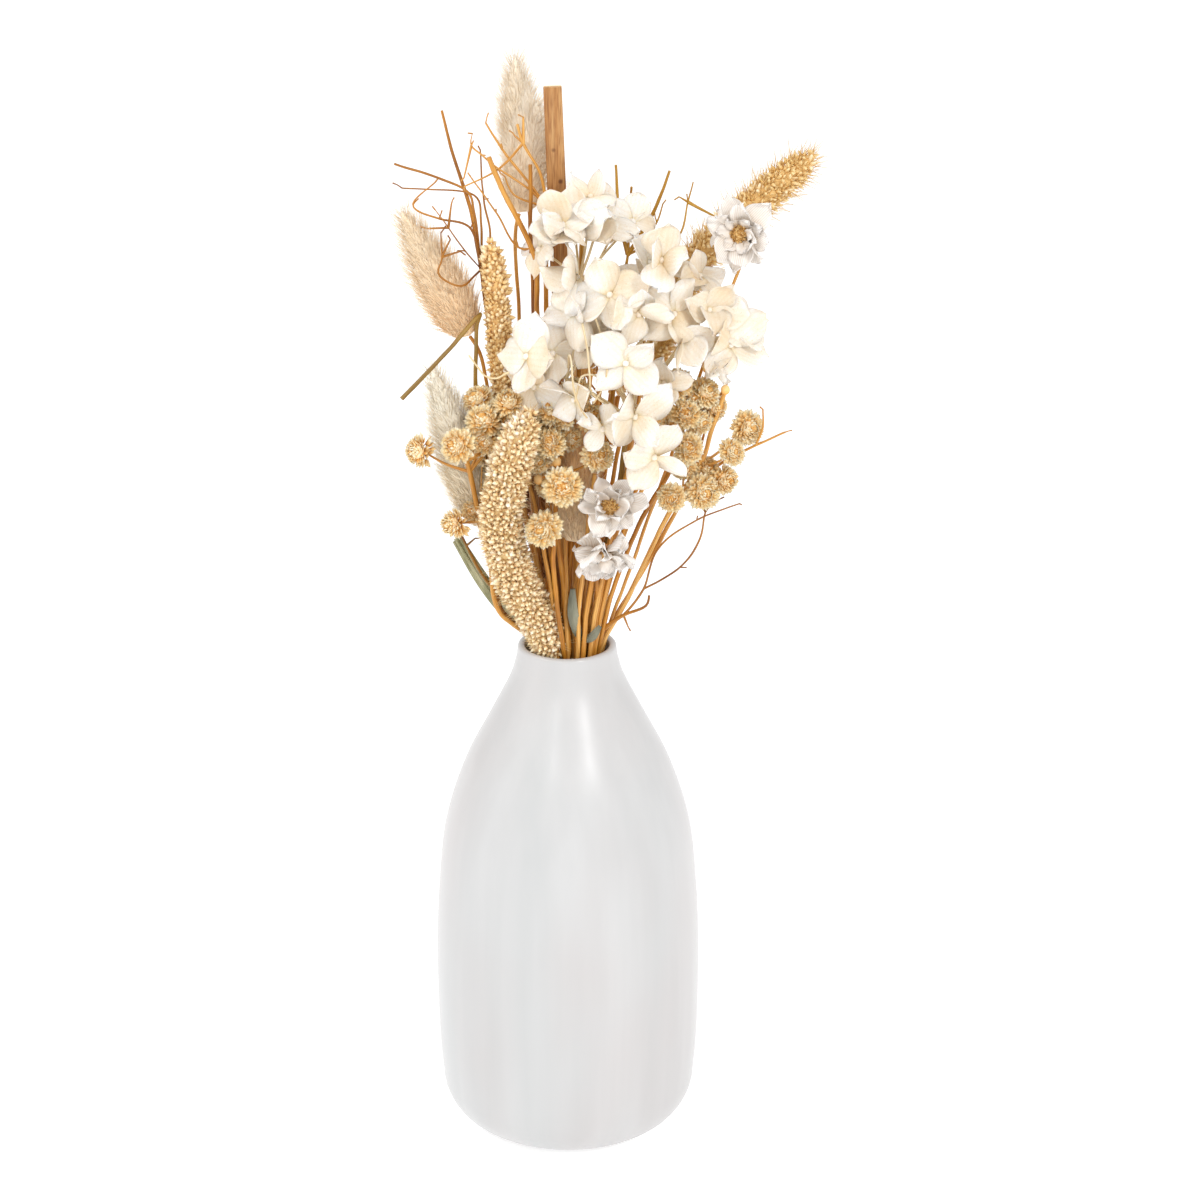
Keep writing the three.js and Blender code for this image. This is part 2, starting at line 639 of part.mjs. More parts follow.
function spikeRadius(t, half, low) {
  const foot = low + (1 - low) * Math.min(1, t / 0.22) ** 0.8;
  const crown = Math.sqrt(Math.max(0, 1 - Math.max(0, (t - 0.8) / 0.2) ** 2.4));
  const end = Math.min(1, t / 0.03);
  return half * foot * crown * end;
}

function spikeHead({ axis, half, low, columns, rows, grain, bristles }) {
  const line = axis.map(vector);
  const core = sleeve(line, columns, rows, (t, row, column) => {
    const seed = (column + row) % 2 === 0 ? grain : -0.3;
    return { radius: spikeRadius(t, half, low) + seed * (t > 0.04 ? 1 : 0), slip: seed * 0.6 };
  });
  const parts = [core];
  const curve = new THREE.CatmullRomCurve3(line);
  for (let i = 0; i < bristles; i += 1) {
    const t = 0.1 + (0.88 * (i + 0.5)) / bristles;
    const spot = curve.getPointAt(t);
    const tangent = curve.getTangentAt(t);
    const out = new THREE.Vector3(0.3, 1, 0.2).applyAxisAngle(tangent, i * 2.4);
    out.addScaledVector(tangent, -out.dot(tangent)).normalize();
    const root = spot.addScaledVector(out, spikeRadius(t, half, low) * 0.6);
    parts.push(needle(root, tangent.clone().multiplyScalar(1.1).add(out), random(6, 8), 0.5));
  }
  return fuse(parts);
}

for (const [name, spike] of Object.entries(SPIKES)) {
  const colour = name === 'spike_back' ? BROWN : STRAW;
  addPiece(`${name}_head`, spikeHead(spike), colour, 0.85);
  const line = spike.axis.map(vector);
  const curve = new THREE.CatmullRomCurve3(line);
  for (let t = 0.02; t < 1; t += 0.06) {
    keepClear(name, curve.getPointAt(t), spikeRadius(t, spike.half, spike.low) + spike.grain + 0.2);
  }
  const along = curve.getTangentAt(0);
  const top = line[0].clone().addScaledVector(along, -SEAT_GAP);
  const below = top.clone().addScaledVector(along, -7);
  addStem(name, [below.toArray(), top.toArray()], 1.2, 1, along.toArray());
}

// Hydrangea

// Four rounded petals in one cupped ring
const FLORET_SHAPE = [0.42, 0.93, 1, 0.93];

function floret([x, y, z, turn, lift, roll, span]) {
  const cup = random(0.12, 0.3);
  return petalRing(4, span / 2, FLORET_SHAPE, (r) => cup * r ** 2, facing([x, y, z], turn, lift, roll));
}

function hydrangeaBloom() {
  const foot = vector(BLOOM_FOOT);
  const parts = [];
  for (const fork of BLOOM_FORKS) {
    const end = vector(fork);
    const middle = foot.clone().lerp(end, 0.5).add(new THREE.Vector3(0, 2, 0));
    parts.push(stick([foot, middle, end], [0.9, 0.8, 0.7], 5));
  }
  for (const entry of FLORETS) {
    const fork = vector(BLOOM_FORKS[entry[7]]);
    const centre = vector(entry.slice(0, 3));
    const back = new THREE.Vector3(0, 0, -1).transformDirection(facing(entry.slice(0, 3), entry[3], entry[4]));
    const middle = fork.clone().lerp(centre, 0.55).addScaledVector(back, 2.5);
    const eye = centre.clone().addScaledVector(back, -1.2);
    parts.push(stick([fork, middle, eye], [0.55, 0.5, 0.9], 3));
    parts.push(floret(entry));
    keepClear('hydrangea', centre, 4);
    for (let i = 0; i < 4; i += 1) {
      const petal = new THREE.Vector3(entry[6] * 0.3, 0, 0.5);
      petal.applyMatrix4(new THREE.Matrix4().makeRotationZ(((i + 0.5) * Math.PI) / 2));
      petal.applyMatrix4(facing(entry.slice(0, 3), entry[3], entry[4], entry[5]));
      keepClear('hydrangea', petal, entry[6] * 0.2);
    }
  }
  return fuse(parts);
}

addPiece('hydrangea_bloom', hydrangeaBloom(), WHITE, 0.75);
{
  const top = vector(BLOOM_FOOT).add(new THREE.Vector3(-0.3, 0, -1.3));
  const below = top.clone().add(new THREE.Vector3(-2, 1, -9));
  addStem('hydrangea', [below.toArray(), top.toArray()], 1.4, 1.1);
}

// Strawflowers: a ring of long papery bracts and a shorter ring above it, round a bumpy disc

const BRACT_SHAPE = [0.6, 0.96, 1];

function strawflowerHead({ at, turn, lift, half }) {
  const matrix = facing(at, turn, lift);
  const outer = petalRing(7, half, BRACT_SHAPE, (r) => 0.3 * r, matrix);
  const inner = petalRing(5, half * 0.72, BRACT_SHAPE, (r) => 0.15 + 0.75 * r ** 2, matrix);
  const disc = new THREE.SphereGeometry(2.5, 7, 4);
  disc.rotateX(Math.PI / 2);
  disc.scale(1, 1, 0.8);
  disc.translate(0, 0, 0.6);
  disc.applyMatrix4(matrix);
  const cup = new THREE.ConeGeometry(1.8, 3, 5);
  cup.rotateX(-Math.PI / 2);
  cup.translate(0, 0, -1);
  cup.applyMatrix4(matrix);
  return fuse([outer, inner, solid(disc), solid(cup)]);
}

for (const [name, flower] of Object.entries(STRAWFLOWERS)) {
  addPiece(`${name}_head`, strawflowerHead(flower), WHITE, 0.7);
  const matrix = facing(flower.at, flower.turn, flower.lift);
  const back = new THREE.Vector3(0, 0, -1).transformDirection(matrix);
  const centre = vector(flower.at);
  keepClear(name, centre, flower.half * 0.8);
  const top = centre.clone().addScaledVector(back, 2.5 + SEAT_GAP);
  const below = top.clone().addScaledVector(back, 3).add(new THREE.Vector3(0, 0, -4));
  addStem(name, [below.toArray(), top.toArray()], 0.7, 0.5);
}

// Daisies: a closed dome whose rows are the stalk's seat, the outer bracts' tips with notches between them,
// the inner bracts' tips over those notches, the disc's rim and its top: reach on and off a bract, and height
const DAISY_COLUMNS = 12;
const DAISY_ROWS = [[0, 0, -0.45], [1, 0.55, -0.05], [0.5, 0.82, 0.4], [0.3, 0.3, 0.3], [0, 0, 0.45]];

function daisyHead([x, y, z, half, turn, lift]) {
  const geometry = new THREE.SphereGeometry(1, DAISY_COLUMNS, DAISY_ROWS.length - 1);
  const place = geometry.attributes.position;
  for (let v = 0; v < place.count; v += 1) {
    const row = DAISY_ROWS.length - 1 - Math.floor(v / (DAISY_COLUMNS + 1));
    const column = (v % (DAISY_COLUMNS + 1)) % DAISY_COLUMNS;
    const angle = (2 * Math.PI * column) / DAISY_COLUMNS;
    const [tip, notch, height] = DAISY_ROWS[row];
    const radius = half * (column % 2 === 0 ? tip : notch);
    place.setXYZ(v, Math.cos(angle) * radius, Math.sin(angle) * radius, height * half);
  }
  geometry.applyMatrix4(facing([x, y, z], turn, lift));
  return solid(geometry);
}

function nearestPoint(points, target) {
  let best = points[0];
  for (const point of points) {
    if (point.distanceTo(target) < best.distanceTo(target)) {
      best = point;
    }
  }
  return best;
}

for (const [name, spray] of Object.entries(SPRAYS)) {
  addStem(name, spray.stem, 1.1, 0.8);
  const held = spray.stem.map(vector);
  for (const head of spray.heads) {
    const centre = vector(head.slice(0, 3));
    const root = nearestPoint(held, centre);
    const back = new THREE.Vector3(0, 0, -1).transformDirection(facing(head.slice(0, 3), head[4], head[5]));
    const middle = root.clone().lerp(centre, 0.6).addScaledVector(back, 2).add(new THREE.Vector3(0, 0, -1.5));
    addBranch(name, [root.toArray(), middle.toArray(), centre.toArray()], THIN_STALK);
    keepClear(name, centre, head[3] + 0.4);
  }
  for (const bud of spray.buds) {
    const centre = vector(bud);
    const root = nearestPoint(held, centre);
    addBranch(name, [root.toArray(), root.clone().lerp(centre, 0.5).toArray(), bud], TWIG);
    keepClear(name, centre, 1.8);
  }
}

// Trimmed twigs, stalks and the slat

for (const [name, twig] of Object.entries(TWIGS)) {
  addStem(name, twig.stem, 0.9, 0.75);
  for (const [half, ...points] of twig.branches) {
    addBranch(name, points, half);
  }
}
for (const [name, { points, half }] of Object.entries(STALKS)) {
  addStem(name, points, half, half);
}
addStem('slat', SLAT.points, SLAT.half, SLAT.half);
for (const [name, { blades, half }] of Object.entries({ green_leaf: GREEN_LEAF, grey_leaves: SMALL_LEAVES })) {
  addStem(name, blades[0].slice(0, 1), 0.8, 0.6);
  blades.forEach((blade) => addBranch(name, blade, TWIG, half - TWIG));
}

settleStems(900);

// Each plant's strands are fused, a spray's with its heads and buds; a leaf's blade takes its midrib's place

function strandSolids(plant) {
  return strands.filter((strand) => strand.plant === plant && strand.more === 0).map((strand) => {
    const slim = Math.max(...strand.halves) < STALK;
    return stick(strand.points, strand.halves, slim ? 3 : 5);
  });
}

for (const name of [...Object.keys(TAILS), ...Object.keys(SPIKES), ...Object.keys(STRAWFLOWERS)]) {
  addPiece(`${name}_stem`, fuse(strandSolids(name)), GOLD, 0.6);
}
addPiece('hydrangea_stem', fuse(strandSolids('hydrangea')), OLIVE, 0.7);
for (const [name, spray] of Object.entries(SPRAYS)) {
  const buds = spray.buds.map(([x, y, z]) => {
    const bud = new THREE.SphereGeometry(1.4, 6, 4);
    bud.translate(x, y, z);
    return solid(bud);
  });
  addPiece(name, fuse([...strandSolids(name), ...spray.heads.map(daisyHead), ...buds]), STRAW, 0.8);
}
for (const name of [...Object.keys(TWIGS), ...Object.keys(STALKS)]) {
  addPiece(name, fuse(strandSolids(name)), GOLD, 0.6);
}

const greenBlades = GREEN_LEAF.blades.map((blade) => leaf(blade, GREEN_LEAF.half));
addPiece('green_leaf', fuse([...strandSolids('green_leaf'), ...greenBlades]), OLIVE, 0.7);
const greyBlades = SMALL_LEAVES.blades.map((blade) => leaf(blade, SMALL_LEAVES.half));
addPiece('grey_leaves', fuse([...strandSolids('grey_leaves'), ...greyBlades]), GREY_GREEN, 0.8);

const slatStrand = strands.find((strand) => strand.plant === 'slat');
const thin = SLAT.thin / SLAT.half;
addPiece('slat', board(slatStrand.points, slatStrand.halves, thin, new THREE.Vector3(0, 1, 0)), WOOD, 0.7);

const vase = new THREE.LatheGeometry(vaseProfile(), VASE_SEGMENTS);
vase.rotateX(Math.PI / 2);
addPiece('vase', solid(vase), GLAZE, 0.25);

export default bouquet;
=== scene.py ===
import math
import random

import bmesh
import bpy
import numpy as np
from mathutils import Matrix, Vector


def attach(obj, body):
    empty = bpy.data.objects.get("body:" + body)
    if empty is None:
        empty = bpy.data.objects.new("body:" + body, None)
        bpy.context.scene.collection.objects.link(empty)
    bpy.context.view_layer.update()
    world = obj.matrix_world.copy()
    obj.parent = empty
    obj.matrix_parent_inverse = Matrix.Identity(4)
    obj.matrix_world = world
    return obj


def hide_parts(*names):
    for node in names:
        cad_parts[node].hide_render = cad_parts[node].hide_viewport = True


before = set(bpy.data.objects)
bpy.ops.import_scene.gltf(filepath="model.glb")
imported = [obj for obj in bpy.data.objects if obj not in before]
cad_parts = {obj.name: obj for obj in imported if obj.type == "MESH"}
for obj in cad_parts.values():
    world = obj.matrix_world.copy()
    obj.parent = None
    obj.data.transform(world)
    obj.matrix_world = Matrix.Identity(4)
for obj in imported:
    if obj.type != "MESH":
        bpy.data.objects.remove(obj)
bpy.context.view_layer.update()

MM = 0.001
SEED = 11
GOLDEN_TURN = math.radians(137.5)

# Camera and light, as a studio picture taken from a little above
CAMERA_DISTANCE = 1300
CAMERA_DROP = 21
CAMERA_TARGET = (10.9, 0, 189)
LENS = 118.2
SENSOR = 36
# Half the floor's side in metres. Each lamp's turn and lift in degrees, width and height in metres, and power
# in watts; they face one point in metres from the same distance
FLOOR_HALF = 4
LAMPS = [
    ("key", 32, 32.5, 0.2, 0.1, 6.2),
    ("fill", -19, 32.5, 0.2, 0.1, 2.2),
    ("side", -70, 50, 0.9, 0.6, 6.4),
]
LAMP_TARGET = (0, 0, 0.2)
LAMP_DISTANCE = 1.6

# Vase: its foot, its outer radius at each height, its lip, its throat and wall, its inner floor, and its mesh
VASE_HEIGHT = 174
FOOT_RADIUS = 25
FOOT_ROUNDING = 18
BODY = [
    (43.7, 26), (44.3, 39), (44.6, 64), (43.5, 88), (41, 110), (34.5, 131), (25.8, 148.5), (19.1, 162),
    (16.8, 169.5),
]
LIP_RADIUS = 1.3
MOUTH_RADIUS = 13.8
THROAT_DEPTH = 8
WALL = 3
INNER_FLOOR = 6
INNER_FOOT = [(39, 20), (30, 9), (22, INNER_FLOOR)]
VASE_SEGMENTS = 144
ARC_STEPS = 12

# Bunny tails: where each head starts, its tip, its half width, and its colours at the foot and the tip
TAILS = {
    "top": ((-13, 24, 326), (-16.5, 24, 366), 7.4, "#FFEBCC", "#FFF3DF"),
    "upper": ((-15, 7, 319), (-9, 9, 355), 7.6, "#FFEACA", "#FFF2DE"),
    "left": ((-31, -3, 281), (-52, -6, 323), 8.4, "#FFDDAE", "#FFEED2"),
    "low_left": ((-26, -2, 216), (-43, -11, 273), 8.6, "#FFEFD0", "#FFF9EA"),
    "middle": ((3, -4.5, 211), (2, -6, 262), 8.4, "#FFEBC6", "#FFD292"),
}
# A hair's length, half width and bend, and how closely the hairs stand
HAIR_LENGTH = 8
HAIR_HALF = 0.1
HAIR_BEND = 1.0
HAIRS_PER_SQUARE_METRE = 2.1e6
# How far the fur stands out of a tail's core, and how much the core narrows towards its tip
FUR_DEPTH = 1.6
TAIL_TAPER = 0.22

# Spikes: the axis from the lower end to the tip, half width, share of it at the foot, how far the core lies
# under the grains' points, the spacing of the bunches and how far they lean along the spike, a bunch of
# grains with their husks and bristles, and the finish
SPIKES = {
    "front": dict(
        axis=[(-3.4, -4, 171), (-8.5, -8, 184), (-13.5, -11.5, 194), (-18, -15.5, 206), (-21, -20, 221),
              (-20, -24, 234), (-16, -26, 250), (-11, -25, 263)],
        half=6.7, low=0.9, sink=1.9, spacing=2.05, lean=0.7,
        bunch=dict(length=2.7, half=0.78, count=5, spread=1.25, husks=2, husk_length=2.1, bristles=5,
                   bristle_length=5.2),
        finish=("millet_husk", "#EED49C", "#FCEBC2", "#FFFAE8")),
    "upper": dict(
        axis=[(-20, -5, 257), (-21, -6, 277), (-22, -7, 295), (-24, -7, 313)],
        half=4.5, low=0.7, sink=1.8, spacing=1.6, lean=1.2,
        bunch=dict(length=2.8, half=0.8, count=3, spread=0.9, husks=1, husk_length=1.4, bristles=1,
                   bristle_length=3.0),
        finish=("gold_husk", "#E6C080", "#F4D8A2", "#FCEBC8")),
    "right": dict(
        axis=[(27, 9, 267), (33, 9, 281), (42, 9, 302), (54, 9, 315), (67, 10, 327), (80, 11, 337)],
        half=5.1, low=0.7, sink=1.4, spacing=2.1, lean=1.2,
        bunch=dict(length=3.4, half=0.75, count=4, spread=0.95, husks=0, husk_length=0, bristles=5,
                   bristle_length=10.5),
        finish=("foxtail_husk", "#DDB76E", "#F3D9A2", "#FDEDCA")),
    "back": dict(
        axis=[(-6, 8, 192), (-9, 8, 212), (-10, 8, 232), (-13, 8, 250), (-19, 9, 266)],
        half=4.6, low=0.7, sink=1.2, spacing=2.1, lean=0.7,
        bunch=dict(length=1.8, half=0.6, count=3, spread=0.8, husks=4, husk_length=2.2, bristles=3,
                   bristle_length=3.2),
        finish=("brown_husk", "#8F6236", "#B48656", "#DABD9A")),
}
# A bristle's half thickness, and how many bunches stand on the core at the most
BRISTLE_HALF = 0.13
BUNCHES_PER_SQUARE_METRE = 2.0e6

# Hydrangea: the bloom's foot and branching points, then each floret's centre, the way it faces (turn to the
# right, lift above level), its roll, its span and the branching point that it hangs from
BLOOM_FOOT = (21, -14, 256)
BLOOM_FORKS = [(4, -9, 300), (24, -16, 283), (38, -16, 284), (0, -17, 271), (24, -20, 262)]
FLORETS = [
    (3, -16, 321, -10, 40, 50, 27, 0),
    (-1, -17, 322, 0, 15, 70, 24, 0),
    (11, -14, 322, 10, 45, 35, 24, 0),
    (21, -8, 320, 25, 40, 20, 20, 0),
    (30, -27, 313, 12, 25, 30, 28, 1),
    (14, -31, 303, -5, 20, -30, 26, 1),
    (4, -22, 306, -50, 20, 60, 26, 0),
    (3, -24, 295, -45, 0, 70, 24, 3),
    (23, -31, 297, 0, -15, 40, 24, 1),
    (34, -28, 296, 15, 0, 12, 25, 2),
    (45, -21, 295, 40, 20, 20, 24, 2),
    (37, -24, 286, 25, -5, -10, 24, 2),
    (52, -22, 284, 28, 5, 8, 27, 2),
    (-12, -25, 281, -42, 8, 45, 28, 3),
    (-4, -19, 280, -10, 20, 60, 20, 3),
    (3, -28, 268, -35, -25, 75, 23, 3),
    (19, -35, 282, 0, 0, -5, 27, 1),
    (22, -34, 264, 5, 0, 2, 28, 4),
    (12, -31, 259, -30, -10, 30, 17, 4),
    (28, -32, 250, 10, -15, 8, 24, 4),
    (14, -2, 312, 160, 60, 30, 24, 0),
    (34, -10, 305, 110, 55, 60, 24, 1),
    (24, -3, 296, 170, 35, 10, 24, 1),
    (56, -16, 288, 45, 25, 50, 20, 2),
    (-10, -18, 269, -20, -30, 20, 20, 3),
    (8, -12, 329, -20, 60, 10, 20, 0),
    (-8, -12, 312, -60, 20, 35, 20, 0),
    (26, -16, 309, 30, 30, 5, 22, 1),
    (16, -22, 292, -20, 5, 80, 22, 1),
    (42, -14, 304, 60, 30, 40, 20, 1),
    (46, -16, 279, 40, -20, 25, 20, 2),
    (8, -24, 285, -25, -5, 15, 20, 3),
    (31, -24, 272, 15, -15, 60, 20, 4),
]
# Pedicels that lost their floret: points along each, curled round under the bloom
BARE_PEDICELS = [
    [(4, -9, 300), (5.3, -30, 293.8), (7.1, -35, 284.9), (8.4, -36, 272.7), (12, -35, 269)],
    [(4, -9, 300), (9, -29, 296), (12.2, -33, 285.6), (12.8, -35, 276.4), (9, -36, 269)],
    [(0, -17, 271), (1.5, -33, 284), (3.1, -36, 271.8), (7, -35, 264)],
    [(0, -17, 271), (-14, -22, 276), (-24, -20, 272), (-31, -17, 279)],
    [(24, -20, 262), (14, -30, 273), (6, -34, 278), (3, -34, 269)],
]
# A petal's width and thickness, and the spacing of its long veins and of the net between them
PETAL_WIDTH = 12
PETAL_THICKNESS = 0.16
VEIN_SPACING = 1.714
NET_SPACING = 1
# How a petal varies: shares of half the floret's span, its end's form, then turns in radians
PETAL = dict(length=(0.88, 1.14), half=(0.36, 0.52), point=(0.45, 0.85), curl=(-0.25, 0.35),
             ripple=(0.4, 1.6), cup=(-0.5, 0.6), twist=(-0.5, 0.5), turn=(-0.22, 0.22), tilt=(-0.4, 0.4),
             roll=(-0.55, 0.55))
# How far a floret's petals fold back or forward, in radians, and the height of a petal's waves by its span
FLORET_OPENNESS = (-0.65, 0.15)
RIPPLE_SHARE = 0.03

# Strawflowers: centre, turn, lift, half width
STRAWFLOWERS = {
    "right": ((55, -14, 318), -25, 15, 9.2),
    "front": ((14, -26, 231), -5, 12, 8.2),
    "low": ((12, -22, 214), -10, -40, 8.2),
}

# Rings of bracts from the outer one in: how many, share of the half width, lift above flat in radians, curl
BRACT_RINGS = [(7, 1.12, -0.25, 0.25), (7, 1.0, 0.15, 0.35), (6, 0.72, 0.55, 0.45)]
# A bract's width and thickness, the height of its waves, and the spacing of its ribs
BRACT_WIDTH = 7.5
BRACT_THICKNESS = 0.14
BRACT_RIPPLE = 1.1
RIB_SPACING = 0.471
# How a bract varies: shares of its ring's length, its curl and cup, then turns in radians
BRACT = dict(length=(0.82, 1.15), half=(0.36, 0.5), curl=(-0.35, 0.35), cup=(-0.3, 1.0), twist=(-0.7, 0.7),
             turn=(-0.25, 0.25), tilt=(-0.3, 0.3), roll=(-0.4, 0.4))

# Daisy sprays: each head's centre, half width, turn and lift, each round bud's centre, and the smaller heads
# that crowd between the others on short pedicels
SPRAYS = {
    "left": (
        [(-46, -15, 246, 4.6, -60, 10), (-34, -25, 251, 5.4, -30, 20), (-26, -16, 256, 5, -10, 40),
         (-18, -17, 262, 4.8, -10, 60), (-35, -14, 221, 4.2, -60, 0)],
        [],
        [(-28, -9, 261, 4.2, -40, 45), (-21, -12, 258, 4.2, -15, 35), (-25, -17, 250, 4.6, -25, 10),
         (-19, -14, 251, 4.2, 10, 30), (-30, -10, 224, 3.8, -20, 20), (-27, -14, 245, 3.8, -40, -10)]),
    "front": (
        [(-1, -27, 238, 5.4, 0, 25), (-7, -25, 223, 5.2, -15, 15), (10, -20, 246, 5, 20, 25),
         (-5, -19, 250, 4.8, -5, 35), (3, -13, 265, 4.4, 5, 50), (-5, -16, 260, 4.4, -10, 40)],
        [(-5, -14, 242), (-9, -17, 237), (-3, -18, 243.5)],
        [(-9, -15, 243, 4.2, 10, 10), (-8, -13, 252, 4.4, -20, 30), (-2, -13, 257, 4.2, 15, 30),
         (1, -12, 249, 3.8, 30, 20), (8, -12, 256, 4.2, 20, 40), (-6, -11, 233, 3.8, 20, 10)]),
    "right": (
        [(58, -12, 253, 4.8, 30, 15), (53, -19, 247, 3.8, 20, 20), (44, -17, 233, 5.2, 15, 10),
         (34, -20, 232, 4.6, 0, 15), (39, -21, 249, 4.6, 5, 25), (38, -17, 259, 4.8, 5, 30),
         (35.5, -15, 268, 4.6, -10, 40), (44, -13, 265, 4.8, 30, 30), (50, -14, 236, 4.4, 40, 10)],
        [(45, -12, 273), (51, -13, 266)],
        [(40, -12, 263, 4.4, 20, 20), (42, -15, 256, 4.2, 30, 10), (35, -11, 254, 4.4, -15, 20),
         (45, -11, 238, 4.2, 30, 30), (38, -13, 240, 4.0, -10, 0), (47, -10, 259, 4.0, 50, 20)]),
    "back": (
        [(10, 20, 268, 4.8, 170, 40), (22, 22, 257, 4.6, 150, 25), (2, 24, 252, 4.6, 190, 20),
         (30, 16, 246, 4.4, 130, 20)],
        [(16, 26, 262)],
        [(15, 19, 258, 4.4, 165, 30), (26, 17, 261, 4.2, 140, 50), (6, 21, 261, 4.2, 200, 30)]),
}

# A daisy head's half width before it is sized, its bracts' length and half width, and its variants
DAISY_HALF = 4.2
DAISY_BRACT = (3.2, 0.68)
DAISY_VARIANTS = 4

# Leaves: points along the green leaf's midrib, then where each of its blades lies from it, its half width and
# its fold; for the grey leaves points along the midrib and half width
GREEN_LEAF = [(-11, 1, 177.5), (-17.5, 1, 181.5), (-27, 1, 194), (-36.5, 2, 210)]
GREEN_BLADES = [((0, 0, 0), 1.7, 0.8), ((1.0, -0.9, 1.4), 1.2, 0.5), ((-0.7, 0.4, -1.2), 1.1, 0.9)]
GREY_LEAVES = [
    ([(4.5, -9, 179), (3.2, -11, 183), (2, -13, 190), (2, -13, 198)], 1.8),
    ([(4.5, -9, 179), (8, -11, 180), (11, -12, 184.5)], 1.4),
]
# A leaf's width and half thickness, the waves across it, the spacing of its ribs, and its columns and rows
LEAF_WIDTH = 3.4
LEAF_HALF_THICKNESS = 0.16
LEAF_WAVE = 0.09
LEAF_RIB_SPACING = 0.267
LEAF_COLUMNS = 10
LEAF_ROWS = 30

# Bare straws packed between the stems: where each one leaves the mouth, its head and its half thickness
STRAWS = [
    ((-3.5, -9.5, 178), (-14, -9, 240), 0.75),
    ((3.5, -11.2, 178), (9, -15, 238), 0.7),
    ((5.5, -10.5, 178), (15, -14, 232), 0.85),
    ((8, -9.5, 178), (21, -15, 244), 0.8),
    ((9.8, -7.5, 178), (28, -12, 248), 0.7),
    ((11.2, -5, 178), (34, -11, 239), 0.75),
    ((2, -6, 178), (11, 2, 262), 0.8),
    ((7, -4, 178), (20, -6, 262), 0.7),
    ((1, -2, 178), (8, 4, 268), 0.8),
    ((-4, 2, 178), (-4, 10, 262), 0.75),
    ((5, 6, 178), (16, 14, 255), 0.8),
    ((-2, 9, 178), (2, 18, 248), 0.7),
    ((9, 4, 178), (28, 11, 244), 0.75),
    ((10.5, -2, 178), (31, -3, 246), 0.7),
    ((8.8, -8.2, 178), (24, -9, 252), 0.65),
    ((0.5, -5, 178), (3, 1, 236), 0.85),
    ((-0.8, -6, 178), (0.5, 0, 230), 0.8),
    ((3, -8.5, 178), (6.5, -3, 226), 0.75),
    ((1.2, -3, 178), (1, 5, 232), 0.8),
    ((0, -9.5, 178), (-1, -4, 224), 0.75),
    ((-1, -3, 178), (-3, 4, 246), 0.8),
    ((-6, 5, 178), (-12, 14, 250), 0.75),
    ((-3, 6, 178), (-8, 16, 244), 0.7),
    ((3, 8, 178), (9, 18, 252), 0.75),
    ((6, 2, 178), (17, 6, 258), 0.7),
    ((8, 7, 178), (24, 18, 246), 0.7),
    ((1.5, 4, 178), (3, 9, 258), 0.8),
]


# Stalks are read from their solids: the edges of a ring are shorter than this, and those along are longer
RING_EDGE = 2.7
# Finished stalks are this much slimmer than their solids, except twigs, which are thinner than THIN
SLIM_STALK = 0.95
THIN = 0.58
# Share of its thickness that a branch loses towards its tip
TAPER = 0.5
# Half thickness at most of a main stalk and of its branches, then of sprays, and of leaf stalks
STALK_LIMITS = (2.5, 1.5)
TWIG_LIMITS = (0.85, 0.5)
LEAF_LIMITS = (0.7, 0.5)
# Forked twiglets: the share of a twig's points that have one besides its tip, how far they stray from its
# way, their lengths, their bend and their half thicknesses; then a crowded daisy's pedicel and how it sags
FORK_SHARE = 0.65
FORK_STRAY = 0.9
FORK_LENGTHS = (1.2, 3.6)
FORK_BEND = 0.3
FORK_WIDTHS = (0.26, 0.2, 0.24)
PEDICEL_WIDTHS = (0.38, 0.34, 0.3)
PEDICEL_SAG = (0, 0.8, -1.2)
# Straw fibres: how many lie round a stalk, and their length
FIBRES_ROUND = 14
FIBRE_LENGTH = 11.11
# The four faces of a flat-footed needle of four points
NEEDLE = [(0, 2, 1), (0, 1, 3), (1, 2, 3), (2, 0, 3)]

# Small shapes that are repeated, removed at the end
units = []


def linear(code):
    """A colour written as an sRGB hex value, as the linear values that a shader takes."""
    values = [int(code[i:i + 2], 16) / 255 for i in (1, 3, 5)]
    return [v / 12.92 if v <= 0.04045 else ((v + 0.055) / 1.055) ** 2.4 for v in values] + [1.0]


def fill(tree, node, inputs):
    """Sets or links a node's inputs. A node given as a value stands for its first output in use."""
    for key, value in inputs.items():
        if isinstance(value, bpy.types.Node):
            value = next(output for output in value.outputs if output.enabled)
        if isinstance(value, bpy.types.NodeSocket):
            tree.links.new(value, node.inputs[key])
        else:
            node.inputs[key].default_value = value


def add(tree, kind, inputs=None, stops=(), **settings):
    """Adds a node with its settings and links, and a colour ramp with its stops."""
    node = tree.nodes.new(kind)
    for key, value in settings.items():
        setattr(node, key, value)
    for _ in stops[2:]:
        node.color_ramp.elements.new(0.5)
    for number, (place, code) in enumerate(stops):
        node.color_ramp.elements[number].position = place
        node.color_ramp.elements[number].color = linear(code)
    fill(tree, node, inputs or {})
    return node


# Materials


def finish(name, roughness, **shader_inputs):
    """A material with one principled shader; returns the material, its tree and its shader."""
    material = bpy.data.materials.new(name)
    material.use_nodes = True
    tree = material.node_tree
    shader = tree.nodes["Principled BSDF"]
    values = {"Roughness": roughness, "Subsurface_Radius": (1.0, 1.0, 1.0), **shader_inputs}
    fill(tree, shader, {key.replace("_", " "): value for key, value in values.items()})
    return material, tree, shader


def pattern(tree, kind, size, stretch=(1, 1, 1), **inputs):
    """A texture in the object's own coordinates, with its spots or lines about `size` millimetres apart."""
    place = add(tree, "ShaderNodeTexCoord").outputs["Object"]
    mapped = add(tree, "ShaderNodeMapping", {"Vector": place, "Scale": stretch})
    return add(tree, kind, {"Vector": mapped, "Scale": 1 / (size * MM), **inputs})


